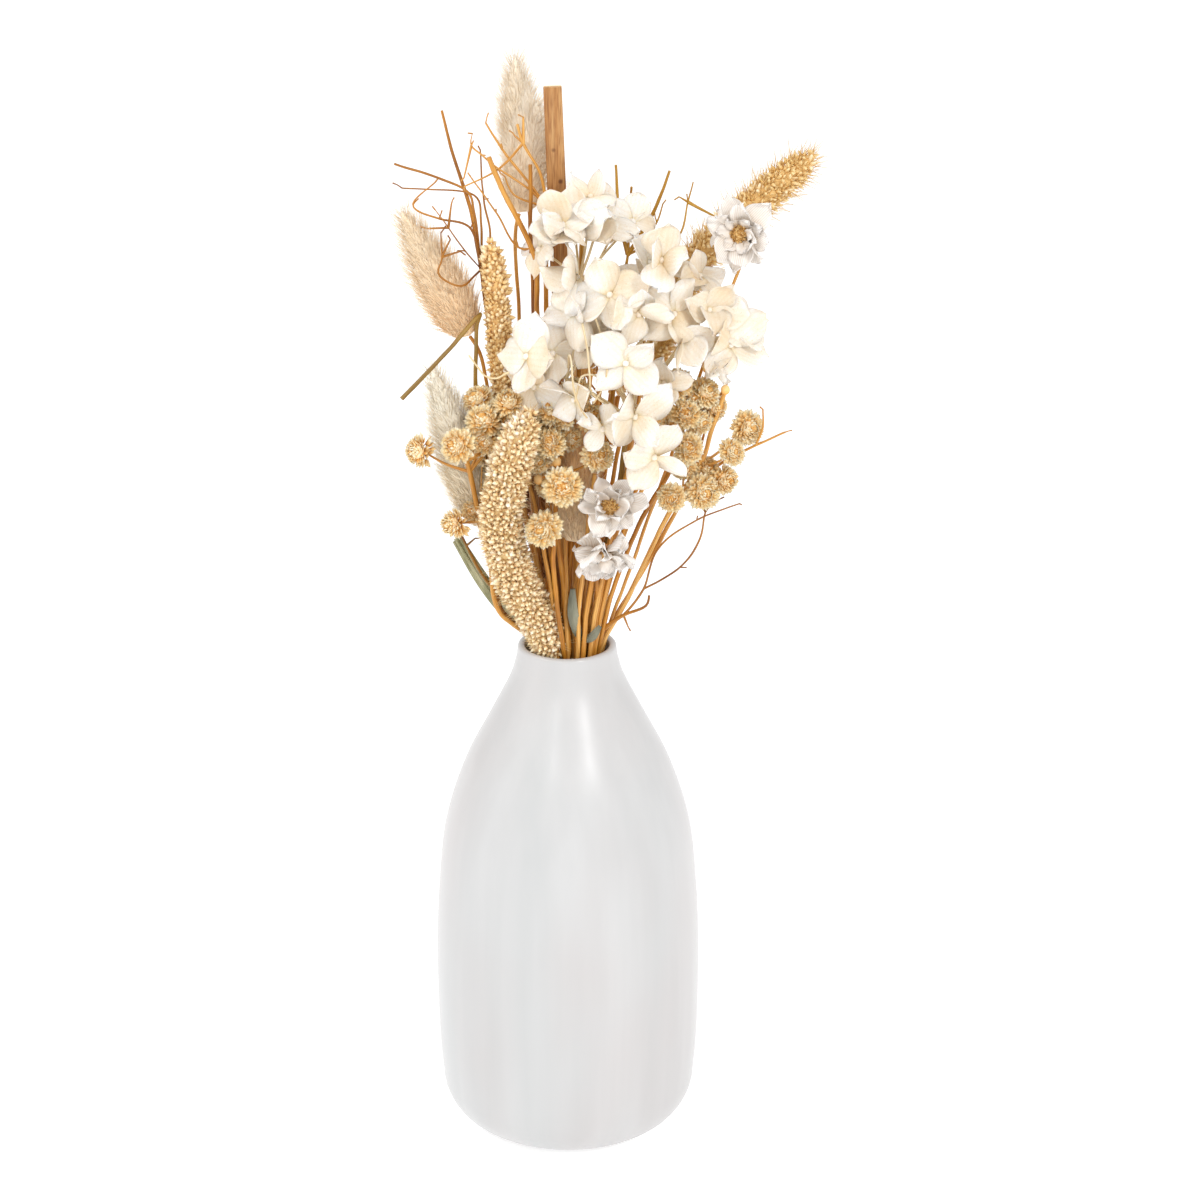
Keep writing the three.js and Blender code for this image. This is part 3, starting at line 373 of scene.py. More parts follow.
def ribs_across(tree, width, spacing, **inputs):
    """Ribs along a petal or leaf of a width, `spacing` apart; the texture draws 20 rad of wave at scale 1."""
    place = add(tree, "ShaderNodeUVMap", uv_map="petal")
    scale = 2 * math.pi * width / (20 * spacing)
    return add(tree, "ShaderNodeTexWave", {"Vector": place, "Scale": scale, **inputs},
               bands_direction="X").outputs["Fac"]


def layered(tree, *layers):
    """Layers of colour multiplied over each other. Each is what drives it, an output or the name of a mesh
    attribute, how strongly it counts, and its stops."""
    colour = None
    for driver, strength, *stops in layers:
        if isinstance(driver, str):
            driver = add(tree, "ShaderNodeAttribute", attribute_name=driver).outputs["Fac"]
        layer = add(tree, "ShaderNodeValToRGB", {"Fac": driver}, stops)
        if colour:
            layer = add(tree, "ShaderNodeMix", {0: strength, 6: colour, 7: layer},
                        data_type="RGBA", blend_type="MULTIPLY")
        colour = layer
    return colour


def dress(tree, shader, colour, height=None, depth=0.0, strength=1.0):
    """Gives the shader its colour and, where there is a height pattern, a fine relief `depth` mm deep."""
    fill(tree, shader, {"Base Color": colour})
    if height:
        relief = add(tree, "ShaderNodeBump", {"Height": height, "Distance": depth * MM, "Strength": strength})
        fill(tree, shader, {"Normal": relief})


def glaze():
    # White glazed stoneware, poured: a clear gloss over a milky body, with faint long runs of grey and rose
    material, tree, shader = finish(
        "white_glaze_stoneware", 0.32, IOR=1.5, Coat_Weight=0.14, Coat_Roughness=0.09)
    runs = pattern(tree, "ShaderNodeTexNoise", 16.67, (1, 1, 0.06), Detail=4)
    clouds = pattern(tree, "ShaderNodeTexNoise", 45.45, (1, 1, 0.5))
    waves = pattern(tree, "ShaderNodeTexNoise", 11.11, (1, 1, 0.12))
    colour = layered(
        tree,
        (runs, 1.0, (0.3, "#BEBFBF"), (0.5, "#C3C3C3"), (0.7, "#C8C8C8")),
        (clouds, 1.0, (0.4, "#FFFFFF"), (0.75, "#FAF5F4")))
    dress(tree, shader, colour, waves, 0.1, 0.3)
    return material


def tail_hair(name, foot_colour, tip_colour):
    # Seed hair of bunny tail grass: soft, matt, painted shade at the roots, lighter at the tips where light
    # passes the fine ends
    material, tree, shader = finish(name, 0.75, Subsurface_Weight=0.12, Subsurface_Scale=0.0004,
                                    Sheen_Weight=0.3)
    tone, reach = (add(tree, "ShaderNodeAttribute", attribute_name=label).outputs["Fac"]
                   for label in ("tone", "reach"))
    # Each hair's own random tone mixed with painted shade that darkens it towards its root
    tone_and_root_shade = add(tree, "ShaderNodeMix", {0: 0.5, "A": tone, "B": reach})
    colour = layered(
        tree,
        ("level", 1.0, (0.0, foot_colour), (0.75, tip_colour)),
        (tone_and_root_shade, 1.0, (0.0, "#EBD6B4"), (0.4, "#FDF7EE"), (0.8, "#FFFFFF")))
    dress(tree, shader, colour)
    return material


def grain(name, deep, body, pale):
    # Husked grain: matt and papery, each bunch its own tone, darker with painted shade where it joins the
    # spike, rosy in spots
    material, tree, shader = finish(name, 0.62)
    colour = layered(
        tree,
        ("tone", 1.0, (0.0, deep), (0.25, body), (0.75, body), (1.0, pale)),
        # Painted shade by reach: darker towards the feet of grains and husks and on the core, deep in the
        # spike
        ("reach", 1.0, (0.0, "#DAB282"), (0.35, "#F8E8C8"), (0.8, "#FFFFFF")),
        ("husk", 1.0, (0.4, "#FFFFFF"), (0.65, "#EAD2C2")))
    dress(tree, shader, colour, pattern(tree, "ShaderNodeTexNoise", 0.3846), 0.08, 0.5)
    return material


def petal():
    # Bleached hydrangea petal: matt and thin as tissue, light glows through it, with faint veins and specks
    material, tree, shader = finish("bleached_petal", 0.5, Subsurface_Weight=0.3, Subsurface_Scale=0.0005,
                                    Subsurface_Radius=(1.0, 0.8, 0.6))
    fan = ribs_across(tree, PETAL_WIDTH, VEIN_SPACING, Distortion=2.0, Detail=2.0, **{"Detail Scale": 2.0})
    place = add(tree, "ShaderNodeUVMap", uv_map="petal")
    cells = add(tree, "ShaderNodeTexVoronoi", {"Vector": place, "Scale": PETAL_WIDTH / NET_SPACING},
                feature="DISTANCE_TO_EDGE")
    threads = add(tree, "ShaderNodeMath", {0: cells, 1: 6.0}, operation="MULTIPLY", use_clamp=True)
    veins = add(tree, "ShaderNodeMath", {0: fan, 1: threads}, operation="MULTIPLY")
    colour = layered(
        tree,
        ("reach", 1.0, (0.0, "#E6D5AC"), (0.2, "#F2ECE2"), (1.0, "#F8F5F1")),
        (veins, 0.6, (0.0, "#F7F2EA"), (0.5, "#FFFFFF")),
        (pattern(tree, "ShaderNodeTexNoise", 11.11), 1.0, (0.38, "#FFFFFF"), (0.75, "#F3E5D0")),
        (pattern(tree, "ShaderNodeTexNoise", 0.4545, Detail=1), 1.0, (0.62, "#FFFFFF"), (0.8, "#EEDFC8")),
        ("tone", 1.0, (0.0, "#FAF1E3"), (0.3, "#FFFFFF")))
    dress(tree, shader, colour, veins, 0.05, 0.4)
    return material


def bract():
    # Papery everlasting bract: dry and silky, half clear, finely ribbed along its length
    material, tree, shader = finish("papery_bract", 0.34, Subsurface_Weight=0.35, Subsurface_Scale=0.0004)
    ribs = ribs_across(tree, BRACT_WIDTH, RIB_SPACING, Distortion=1.2, Detail=1.0)
    colour = layered(
        tree,
        ("reach", 1.0, (0.0, "#B8925C"), (0.25, "#EEE4D8"), (1.0, "#FCF9F6")),
        (ribs, 0.7, (0.0, "#E4D9CE"), (0.6, "#FFFFFF")))
    dress(tree, shader, colour, ribs, 0.05, 0.5)
    return material


def floret_disc():
    # Tubular florets in the eye of a strawflower: dry, golden brown with painted shade in the hollows between
    # them
    material, tree, shader = finish("golden_brown_florets", 0.7)
    dress(tree, shader, layered(
        tree,
        ("tone", 1.0, (0.0, "#9A6A30"), (0.5, "#CB9A52"), (1.0, "#E6C688")),
        # Painted shade: darker towards the foot of each floret
        ("reach", 1.0, (0.0, "#7A5A38"), (0.7, "#FFFFFF"))))
    return material


def daisy():
    # Small everlasting daisy: matt papery bracts, whitish at their points and honey coloured at the foot,
    # with painted shade there too
    material, tree, shader = finish("cream_daisy", 0.6)
    dress(tree, shader, layered(
        tree,
        ("tone", 1.0, (0.0, "#FDDBA2"), (0.4, "#FFEDC4"), (1.0, "#FFFBEE")),
        # Honey colour and painted shade: darker at the bracts' feet, deep in the head, and on the lower sides
        # of buds
        ("reach", 1.0, (0.0, "#B47836"), (0.35, "#F8D698"), (0.8, "#FFFAEC"))))
    return material


def daisy_eye():
    # The eye of a small daisy: matt, granular, honey gold, with painted shade between its tubes
    material, tree, shader = finish("honey_daisy_eye", 0.75)
    colour = layered(
        tree,
        ("tone", 1.0, (0.0, "#C8893A"), (0.5, "#E8B668"), (1.0, "#F8DDA4")),
        # Painted shade: darker towards the foot of each tube
        ("reach", 1.0, (0.0, "#C08440"), (0.5, "#FFFFFF")))
    dress(tree, shader, colour, pattern(tree, "ShaderNodeTexNoise", 0.4167), 0.08, 0.6)
    return material


def stalk(name, deep, body, pale):
    # Dry straw: satin skin with fine lines along it, blotched from gold to brown
    material, tree, shader = finish(name, 0.42, IOR=1.45)
    around, along, tone = (add(tree, "ShaderNodeAttribute", attribute_name=label).outputs["Fac"]
                           for label in ("around", "along", "tone"))
    place = add(tree, "ShaderNodeCombineXYZ", {"X": around, "Y": along, "Z": tone})
    laid = add(tree, "ShaderNodeMapping", {
        "Vector": place, "Scale": (FIBRES_ROUND, 1 / (FIBRE_LENGTH * MM), 1)})
    fibre = add(tree, "ShaderNodeTexNoise", {"Vector": laid, "Scale": 1.0, "Detail": 3.0})
    patches = add(tree, "ShaderNodeMix", {0: 0.5, "A": pattern(tree, "ShaderNodeTexNoise", 22.22), "B": tone})
    colour = layered(
        tree,
        (patches, 1.0, (0.28, deep), (0.45, body), (0.72, pale)),
        (fibre, 0.8, (0.35, "#C4A05C"), (0.52, "#FFFFFF")))
    dress(tree, shader, colour, fibre, 0.12, 0.5)
    return material


def slat_wood():
    # Split softwood slat: dry, open grain in long lines, with small knots, and painted light making its
    # upward faces pale at the cut top end
    material, tree, shader = finish("split_softwood", 0.6)
    bands = pattern(tree, "ShaderNodeTexNoise", 2.381, (1, 1, 0.04))
    fibres = pattern(tree, "ShaderNodeTexNoise", 0.3333, (1, 1, 0.012), Detail=3)
    knots = pattern(tree, "ShaderNodeTexVoronoi", 6.667)
    face = layered(
        tree,
        (bands, 1.0, (0.3, "#A5713C"), (0.5, "#B7834C"), (0.7, "#C69A64")),
        (fibres, 0.6, (0.36, "#A87C4E"), (0.56, "#FFFFFF")),
        (knots, 0.8, (0.05, "#865A34"), (0.15, "#FFFFFF")))
    normal = add(tree, "ShaderNodeNewGeometry").outputs["Normal"]
    upward = add(tree, "ShaderNodeSeparateXYZ", {"Vector": normal}).outputs["Z"]
    # Painted light: faces that turn upwards are made pale, as if lit from above
    lit_top = add(tree, "ShaderNodeMath", {0: upward, 1: 0.6}, operation="GREATER_THAN")
    colour = add(tree, "ShaderNodeMix", {0: lit_top, 6: face, 7: linear("#EED3A8")}, data_type="RGBA")
    dress(tree, shader, colour, fibres, 0.15, 0.6)
    return material


def leaf_skin(name, deep, body, pale):
    # Dry leaf: matt, ribbed along its length, blotched where it faded
    material, tree, shader = finish(name, 0.6, Subsurface_Weight=0.1, Subsurface_Scale=0.002)
    ribs = ribs_across(tree, LEAF_WIDTH, LEAF_RIB_SPACING, Distortion=0.6, Detail=1.0)
    blotches = pattern(tree, "ShaderNodeTexNoise", 7.692, (1, 1, 0.4), Detail=3)
    colour = layered(
        tree,
        (blotches, 1.0, (0.3, deep), (0.5, body), (0.7, pale)),
        (ribs, 0.7, (0.1, "#A8A688"), (0.6, "#FFFFFF")))
    dress(tree, shader, colour, ribs, 0.12, 0.6)
    return material


# Node trees for what repeats


def title(label):
    return label.replace("_", " ").title()


def geometry_tree(name, **sockets):
    """An empty geometry tree with named inputs; returns it, its inputs and its output node."""
    tree = bpy.data.node_groups.new(name, "GeometryNodeTree")
    for label, kind in {"geometry": "Geometry", **sockets}.items():
        tree.interface.new_socket(title(label), in_out="INPUT", socket_type="NodeSocket" + kind)
    tree.interface.new_socket("Geometry", in_out="OUTPUT", socket_type="NodeSocketGeometry")
    return tree, tree.nodes.new("NodeGroupInput").outputs, tree.nodes.new("NodeGroupOutput")


def close_tree(tree, output, geometry, material):
    """Every tree ends the same way: real meshes, smooth, with their material."""
    whole = add(tree, "GeometryNodeRealizeInstances", {"Geometry": geometry})
    smooth = add(tree, "GeometryNodeSetShadeSmooth", {"Geometry": whole, "Shade Smooth": True})
    done = add(tree, "GeometryNodeSetMaterial", {"Geometry": smooth, "Material": material})
    fill(tree, output, {"Geometry": done})


def stalk_tree():
    """Lines with a `thick` at each point become round, slightly uneven stalks that sway a little."""
    tree, given, output = geometry_tree(
        "stalks", sides="Int", step="Float", sway="Float", unevenness="Float", material="Material")
    lines = add(tree, "GeometryNodeMeshToCurve", {"Mesh": given["Geometry"]})
    curved = add(tree, "GeometryNodeCurveSplineType", {"Curve": lines}, spline_type="CATMULL_ROM")
    even = add(tree, "GeometryNodeResampleCurve", {"Curve": curved, "Length": given["Step"]}, mode="LENGTH")
    place = add(tree, "GeometryNodeInputPosition")
    drift = add(tree, "ShaderNodeTexNoise", {"Vector": place, "Scale": 70.0, "Detail": 1.0}).outputs["Color"]
    centred = add(tree, "ShaderNodeVectorMath", {0: drift, 1: (0.5, 0.5, 0.5)}, operation="SUBTRACT")
    push = add(tree, "ShaderNodeVectorMath", {0: centred, "Scale": given["Sway"]}, operation="SCALE")
    swayed = add(tree, "GeometryNodeSetPosition", {"Geometry": even, "Offset": push})
    rough = add(tree, "ShaderNodeTexNoise", {"Vector": place, "Scale": 260.0, "Detail": 2.0})
    uneven = add(tree, "ShaderNodeMath", {0: rough, 1: 0.5}, operation="SUBTRACT")
    swell = add(tree, "ShaderNodeMath", {0: uneven, 1: given["Unevenness"], 2: 1.0}, operation="MULTIPLY_ADD")
    thick = add(tree, "GeometryNodeInputNamedAttribute", {"Name": "thick"})
    radius = add(tree, "ShaderNodeMath", {0: thick, 1: swell}, operation="MULTIPLY")
    spline = add(tree, "GeometryNodeSplineParameter")
    marked = add(tree, "GeometryNodeStoreNamedAttribute", {
        "Geometry": swayed, "Name": "along", "Value": spline.outputs["Length"]})
    ring = add(tree, "GeometryNodeCurvePrimitiveCircle", {"Resolution": given["Sides"], "Radius": 1.0})
    profile = add(tree, "GeometryNodeStoreNamedAttribute", {
        "Geometry": ring, "Name": "around", "Value": spline.outputs["Factor"]})
    tube = add(tree, "GeometryNodeCurveToMesh", {
        "Curve": marked, "Profile Curve": profile, "Scale": radius, "Fill Caps": True})
    close_tree(tree, output, tube, given["Material"])
    return tree


def scatter_tree():
    """Scatters a unit over a core, leaning towards the core's `lean` direction."""
    tree, given, output = geometry_tree(
        "scatter", unit="Object", density="Float", spacing="Float", seed="Int", outward="Float", lean="Float",
        jitter="Float", smallest="Float", largest="Float", skin_tone="Float", skin_reach="Float",
        material="Material")
    points = add(tree, "GeometryNodeDistributePointsOnFaces", {
        "Mesh": given["Geometry"], "Distance Min": given["Spacing"], "Density Max": given["Density"],
        "Seed": given["Seed"]}, distribute_method="POISSON")
    along = add(tree, "GeometryNodeInputNamedAttribute", {"Name": "lean"}, data_type="FLOAT_VECTOR")
    stray = add(tree, "FunctionNodeRandomValue", {
        0: (-1, -1, -1), 1: (1, 1, 1), "Seed": given["Seed"]}, data_type="FLOAT_VECTOR")
    aim = None
    for way, share in ((along, "Lean"), (points.outputs["Normal"], "Outward"), (stray, "Jitter")):
        part = add(tree, "ShaderNodeVectorMath", {0: way, "Scale": given[share]}, operation="SCALE")
        aim = add(tree, "ShaderNodeVectorMath", {0: aim, 1: part}) if aim else part
    spin, size, tone = (
        add(tree, "FunctionNodeRandomValue", {2: low, 3: high, "Seed": given["Seed"]}, data_type="FLOAT")
        for low, high in ((0.0, 2 * math.pi), (given["Smallest"], given["Largest"]), (0.0, 1.0)))
    upright = add(tree, "FunctionNodeAlignRotationToVector", {"Vector": aim}, axis="Z")
    turn = add(tree, "FunctionNodeAxisAngleToRotation", {"Axis": (0, 0, 1), "Angle": spin})
    turned = add(tree, "FunctionNodeRotateRotation", {"Rotation": upright, "Rotate By": turn},
                 rotation_space="LOCAL")
    unit = add(tree, "GeometryNodeObjectInfo", {"Object": given["Unit"]}).outputs["Geometry"]
    copies = add(tree, "GeometryNodeInstanceOnPoints", {
        "Points": points, "Instance": unit, "Rotation": turned, "Scale": size})
    toned = add(tree, "GeometryNodeStoreNamedAttribute", {"Geometry": copies, "Name": "tone", "Value": tone},
                domain="INSTANCE")
    skin = given["Geometry"]
    for label, value in (("tone", given["Skin Tone"]), ("reach", given["Skin Reach"])):
        skin = add(tree, "GeometryNodeStoreNamedAttribute", {"Geometry": skin, "Name": label, "Value": value})
    joined = add(tree, "GeometryNodeJoinGeometry", {
        "Geometry": add(tree, "GeometryNodeRealizeInstances", {"Geometry": toned})})
    fill(tree, joined, {"Geometry": skin})
    close_tree(tree, output, joined, given["Material"])
    return tree


def whorl_tree():
    """Sets units round an axis by the golden turn, from the outer ones, laid flat, to the inner ones."""
    tree, given, output = geometry_tree(
        "whorl", unit="Object", count="Int", outer_radius="Float", inner_radius="Float", outer_tilt="Float",
        inner_tilt="Float", outer_size="Float", inner_size="Float", rise="Float", jitter="Float", seed="Int",
        material="Material")
    points = add(tree, "GeometryNodePoints", {"Count": given["Count"]})
    index = add(tree, "GeometryNodeInputIndex")
    share = add(tree, "ShaderNodeMath", {0: index, 1: given["Count"]}, operation="DIVIDE")
    angle = add(tree, "ShaderNodeMath", {0: index, 1: GOLDEN_TURN}, operation="MULTIPLY")
    radius, tilt, size = (
        add(tree, "ShaderNodeMapRange", {0: share, 3: given[f"Outer {what}"], 4: given[f"Inner {what}"]})
        for what in ("Radius", "Tilt", "Size"))
    x, y = (
        add(tree, "ShaderNodeMath", {0: radius, 1: add(tree, "ShaderNodeMath", {0: angle}, operation=wave)},
            operation="MULTIPLY")
        for wave in ("COSINE", "SINE"))
    z = add(tree, "ShaderNodeMath", {0: share, 1: given["Rise"]}, operation="MULTIPLY")
    place = add(tree, "ShaderNodeCombineXYZ", {"X": x, "Y": y, "Z": z})
    placed = add(tree, "GeometryNodeSetPosition", {"Geometry": points, "Position": place})
    least = add(tree, "ShaderNodeMath", {0: given["Jitter"], 1: -1.0}, operation="MULTIPLY")
    stray, tone = (
        add(tree, "FunctionNodeRandomValue", {2: low, 3: high, "Seed": given["Seed"]}, data_type="FLOAT")
        for low, high in ((least, given["Jitter"]), (0.0, 1.0)))
    tilted = add(tree, "ShaderNodeMath", {0: tilt, 1: stray}, operation="ADD")
    back = add(tree, "ShaderNodeMath", {0: tilted, 1: -1.0}, operation="MULTIPLY")
    turn = add(tree, "ShaderNodeCombineXYZ", {"X": stray, "Y": back, "Z": angle})
    rotation = add(tree, "FunctionNodeEulerToRotation", {"Euler": turn})
    unit = add(tree, "GeometryNodeObjectInfo", {"Object": given["Unit"]}).outputs["Geometry"]
    copies = add(tree, "GeometryNodeInstanceOnPoints", {
        "Points": placed, "Instance": unit, "Rotation": rotation, "Scale": size})
    toned = add(tree, "GeometryNodeStoreNamedAttribute", {"Geometry": copies, "Name": "tone", "Value": tone},
                domain="INSTANCE")
    close_tree(tree, output, toned, given["Material"])
    return tree


def grow(tree, host, **values):
    """Runs a tree on a host object and gives back the plain mesh; the host and its modifier are removed."""
    modifier = host.modifiers.new("grow", "NODES")
    modifier.node_group = tree
    sockets = {item.name: item.identifier for item in tree.interface.items_tree if item.in_out == "INPUT"}
    for label, value in values.items():
        modifier[sockets[title(label)]] = value
    bpy.context.view_layer.update()
    ready = host.evaluated_get(bpy.context.evaluated_depsgraph_get())
    mesh = bpy.data.meshes.new_from_object(ready)
    bpy.data.objects.remove(host)
    return mesh


# Meshes


def new_object(name, mesh):
    body = bpy.data.objects.new(name, mesh)
    bpy.context.scene.collection.objects.link(body)
    return body


def new_mesh(name, places, faces, edges=(), **attributes):
    """A mesh from points in metres, with float or vector attributes at its points."""
    mesh = bpy.data.meshes.new(name)
    mesh.from_pydata([tuple(p) for p in places], [tuple(e) for e in edges], [tuple(f) for f in faces])
    for label, values in attributes.items():
        values = np.asarray(values, np.float32)
        kind, slot = ("FLOAT", "value") if values.ndim == 1 else ("FLOAT_VECTOR", "vector")
        mesh.attributes.new(label, kind, "POINT").data.foreach_set(slot, values.ravel())
    return mesh


def new_unit(mesh):
    """A small shape that is repeated."""
    body = new_object(mesh.name, mesh)
    units.append(body)
    return body


def piece(name, mesh, slot, *nodes):
    """A finished piece: it stands for its CAD nodes and rides with the vase."""
    body = new_object(name, mesh)
    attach(body, "root")
    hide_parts(*nodes)
    return body


def paint(mesh, material, tone=None):
    """Gives a mesh its one material and, where one is given, the same tone at every point."""
    mesh.materials.clear()
    mesh.materials.append(material)
    if tone is not None:
        values = mesh.attributes.get("tone") or mesh.attributes.new("tone", "FLOAT", "POINT")
        values.data.foreach_set("value", np.full(len(mesh.vertices), tone, np.float32))
    return mesh


def join_meshes(name, meshes, matrices=None):
    """One mesh out of copies of several, each moved by its matrix."""
    whole = bmesh.new()
    for i, mesh in enumerate(meshes):
        part = mesh.copy()
        if matrices:
            part.transform(matrices[i])
        whole.from_mesh(part)
        bpy.data.meshes.remove(part)
    joined = bpy.data.meshes.new(name)
    whole.to_mesh(joined)
    whole.free()
    for material in meshes[0].materials:
        joined.materials.append(material)
    return joined


def welded(node):
    """A copy of a CAD node's loose triangles, joined at their corners."""
    copy = bmesh.new()
    copy.from_mesh(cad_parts[node].data)
    bmesh.ops.remove_doubles(copy, verts=copy.verts, dist=1e-6)
    return copy


def direction(turn, lift):
    """A way turned to the right from the front and lifted above level, in degrees."""
    turn, lift = math.radians(turn), math.radians(lift)
    return Vector((math.sin(turn) * math.cos(lift), -math.cos(turn) * math.cos(lift), math.sin(lift)))


def facing(at, turn, lift, roll=0.0):
    """Where a flower sits: its face looks along local +Z."""
    face = direction(turn, lift)
    right = Vector((0, 0, 1)).cross(face).normalized()
    basis = Matrix((right, face.cross(right), face)).transposed().to_4x4()
    return Matrix.Translation(Vector(at) * MM) @ basis @ Matrix.Rotation(math.radians(roll), 4, "Z")


def smooth_line(points, steps):
    """A line through the points with `steps` stretches between each two, rounded at the bends."""
    points = np.array(points, float)
    ends = np.vstack([2 * points[0] - points[1], points, 2 * points[-1] - points[-2]])
    line = []
    for before, start, end, after in zip(ends, ends[1:], ends[2:], ends[3:]):
        for t in np.arange(steps) / steps:
            square = (2 * before - 5 * start + 4 * end - after) * t ** 2
            cube = (3 * start - before - 3 * end + after) * t ** 3
            line.append(0.5 * (2 * start + (end - before) * t + square + cube))
    line.append(points[-1])
    return np.array(line)


def even_line(points, count):
    """The line through the points at `count` places spaced evenly."""
    line = smooth_line(points, 12)
    run = np.concatenate([[0], np.cumsum(np.linalg.norm(np.diff(line, axis=0), axis=1))])
    at = np.linspace(0, run[-1], count)
    return np.stack([np.interp(at, run, line[:, k]) for k in range(3)], axis=1)


def ways_along(line):
    ways = np.gradient(line, axis=0)
    return ways / np.linalg.norm(ways, axis=1)[:, None]


def ring_faces(columns, rings):
    """Faces of a closed body of rings, from its foot, point 0, to its tip, the last point."""
    last = 1 + rings * columns
    faces = []
    for column in range(columns):
        after = (column + 1) % columns
        faces.append((0, 1 + after, 1 + column))
        faces.append((last, last - columns + column, last - columns + after))
        for low in range(1, last - columns, columns):
            faces.append((low + column, low + after, low + columns + after, low + columns + column))
    return faces


def shifted(faces, first):
    return [tuple(first + i for i in face) for face in faces]


def sleeve(axis, columns, rows, radius_at):
    """A closed sleeve round an axis, with its direction and level kept at each point."""
    line = even_line(axis, rows + 1) * MM
    ways = ways_along(line)
    side = np.array([0.31, 0.95, 0.05])
    places, leans, levels = [line[0]], [ways[0]], [0.0]
    for row in range(1, rows):
        side = side - ways[row] * (side @ ways[row])
        side /= np.linalg.norm(side)
        other = np.cross(ways[row], side)
        radius = radius_at(row / rows) * MM
        for column in range(columns):
            angle = 2 * math.pi * column / columns
            places.append(line[row] + (side * math.cos(angle) + other * math.sin(angle)) * radius)
            leans.append(ways[row])
            levels.append(row / rows)
    places.append(line[-1])
    leans.append(ways[-1])
    levels.append(1.0)
    return new_mesh("core", places, ring_faces(columns, rows - 1), lean=leans, level=levels)


def hair_unit(length, half, bend, stretches):
    """One hair, three sided and tapered, that curves a little; it starts at its root."""
    places, reach, faces = [], [], [(2, 1, 0)]
    for step in range(stretches):
        t = step / stretches
        thin = half * (1 - t) ** 0.6
        for corner in range(3):
            angle = 2 * math.pi * corner / 3
            places.append((math.cos(angle) * thin + bend * t * t, math.sin(angle) * thin, length * t))
            reach.append(t)
    tip = len(places)
    places.append((bend, 0, length))
    reach.append(1.0)
    for step in range(stretches - 1):
        for corner in range(3):
            a, b = step * 3 + corner, step * 3 + (corner + 1) % 3
            faces.append((a, b, b + 3, a + 3))
    for corner in range(3):
        faces.append((tip - 3 + corner, tip - 3 + (corner + 1) % 3, tip))
    return new_unit(new_mesh("hair", np.array(places) * MM, faces, reach=reach))


def grain_parts(length, half, husks, husk_length):
    """One grain with a blunt point, in a cup of pointed husks: points, faces, reach and husk marks."""
    sides, rows = 6, 4
    places, reach = [(0, 0, -0.2 * length)], [0.0]
    for row in range(1, rows):
        t = row / rows
        radius = half * math.sin(math.pi * t ** 0.8) ** 0.8
        for column in range(sides):
            angle = 2 * math.pi * (column + 0.5 * (row % 2)) / sides
            places.append((math.cos(angle) * radius, math.sin(angle) * radius, length * (t * 0.95 - 0.2)))
            reach.append(0.15 + 0.85 * t)
    places.append((0, 0, 0.82 * length))
    reach.append(1.0)
    faces = ring_faces(sides, rows - 1)
    husk_marks = [0.0] * len(places) + [1.0] * (4 * husks)
    up = np.array([0, 0, 1.0])
    for husk in range(husks):
        angle = 2 * math.pi * husk / husks + 0.4
        out = np.array([math.cos(angle), math.sin(angle), 0])
        across = np.array([-math.sin(angle), math.cos(angle), 0])
        root = out * 0.6 * half
        faces += shifted(NEEDLE, len(places))
        places += [root - across * 0.8 * half, root + across * 0.8 * half,
                   root + out * 0.65 * half - up * 0.1, root + out * 1.2 * half + up * husk_length]
        reach += [0.3, 0.3, 0.3, 1.0]
    return np.array(places), faces, reach, husk_marks


def bunch_unit(seed, length, half, count, spread, husks, husk_length, bristles, bristle_length):
    """A small bunch of grains that share one foot, with long bristles between them."""
    rng = random.Random(seed)
    places, faces, reach, marks = [], [], [], []
    grain_places, grain_faces, grain_reach, grain_marks = grain_parts(length, half, husks, husk_length)
    for k in range(count):
        angle = GOLDEN_TURN * k
        lean = 0.0 if k == 0 else rng.uniform(0.4, 1.15)
        turn = Matrix.Rotation(angle, 3, "Z") @ Matrix.Rotation(lean, 3, "Y")
        size = rng.uniform(0.8, 1.05)
        foot = np.array([math.cos(angle), math.sin(angle), 0]) * (spread if k else 0) + np.array([0, 0, 0.3])
        faces += shifted(grain_faces, len(places))
        places += list(grain_places * size @ np.array(turn).T + foot)
        reach += grain_reach
        marks += grain_marks
    for k in range(bristles):
        angle = rng.uniform(0, 2 * math.pi)
        lean = rng.uniform(0.1, 0.7)
        way = np.array([math.cos(angle) * math.sin(lean), math.sin(angle) * math.sin(lean), math.cos(lean)])
        across = np.cross(way, [0.3, 0.4, 0.86])
        across /= np.linalg.norm(across)
        other = np.cross(way, across)
        span = rng.uniform(0.6, 1.0) * bristle_length
        faces += shifted(NEEDLE, len(places))
        places += [across * BRISTLE_HALF, (other - across) * BRISTLE_HALF, (-other - across) * BRISTLE_HALF,
                   way * span + np.array([0, 0, 0.12 * span])]
        reach += [0.1, 0.1, 0.1, 0.4]
        marks += [0.0] * 4
    return new_unit(new_mesh("bunch", np.array(places) * MM, faces, reach=reach, husk=marks))


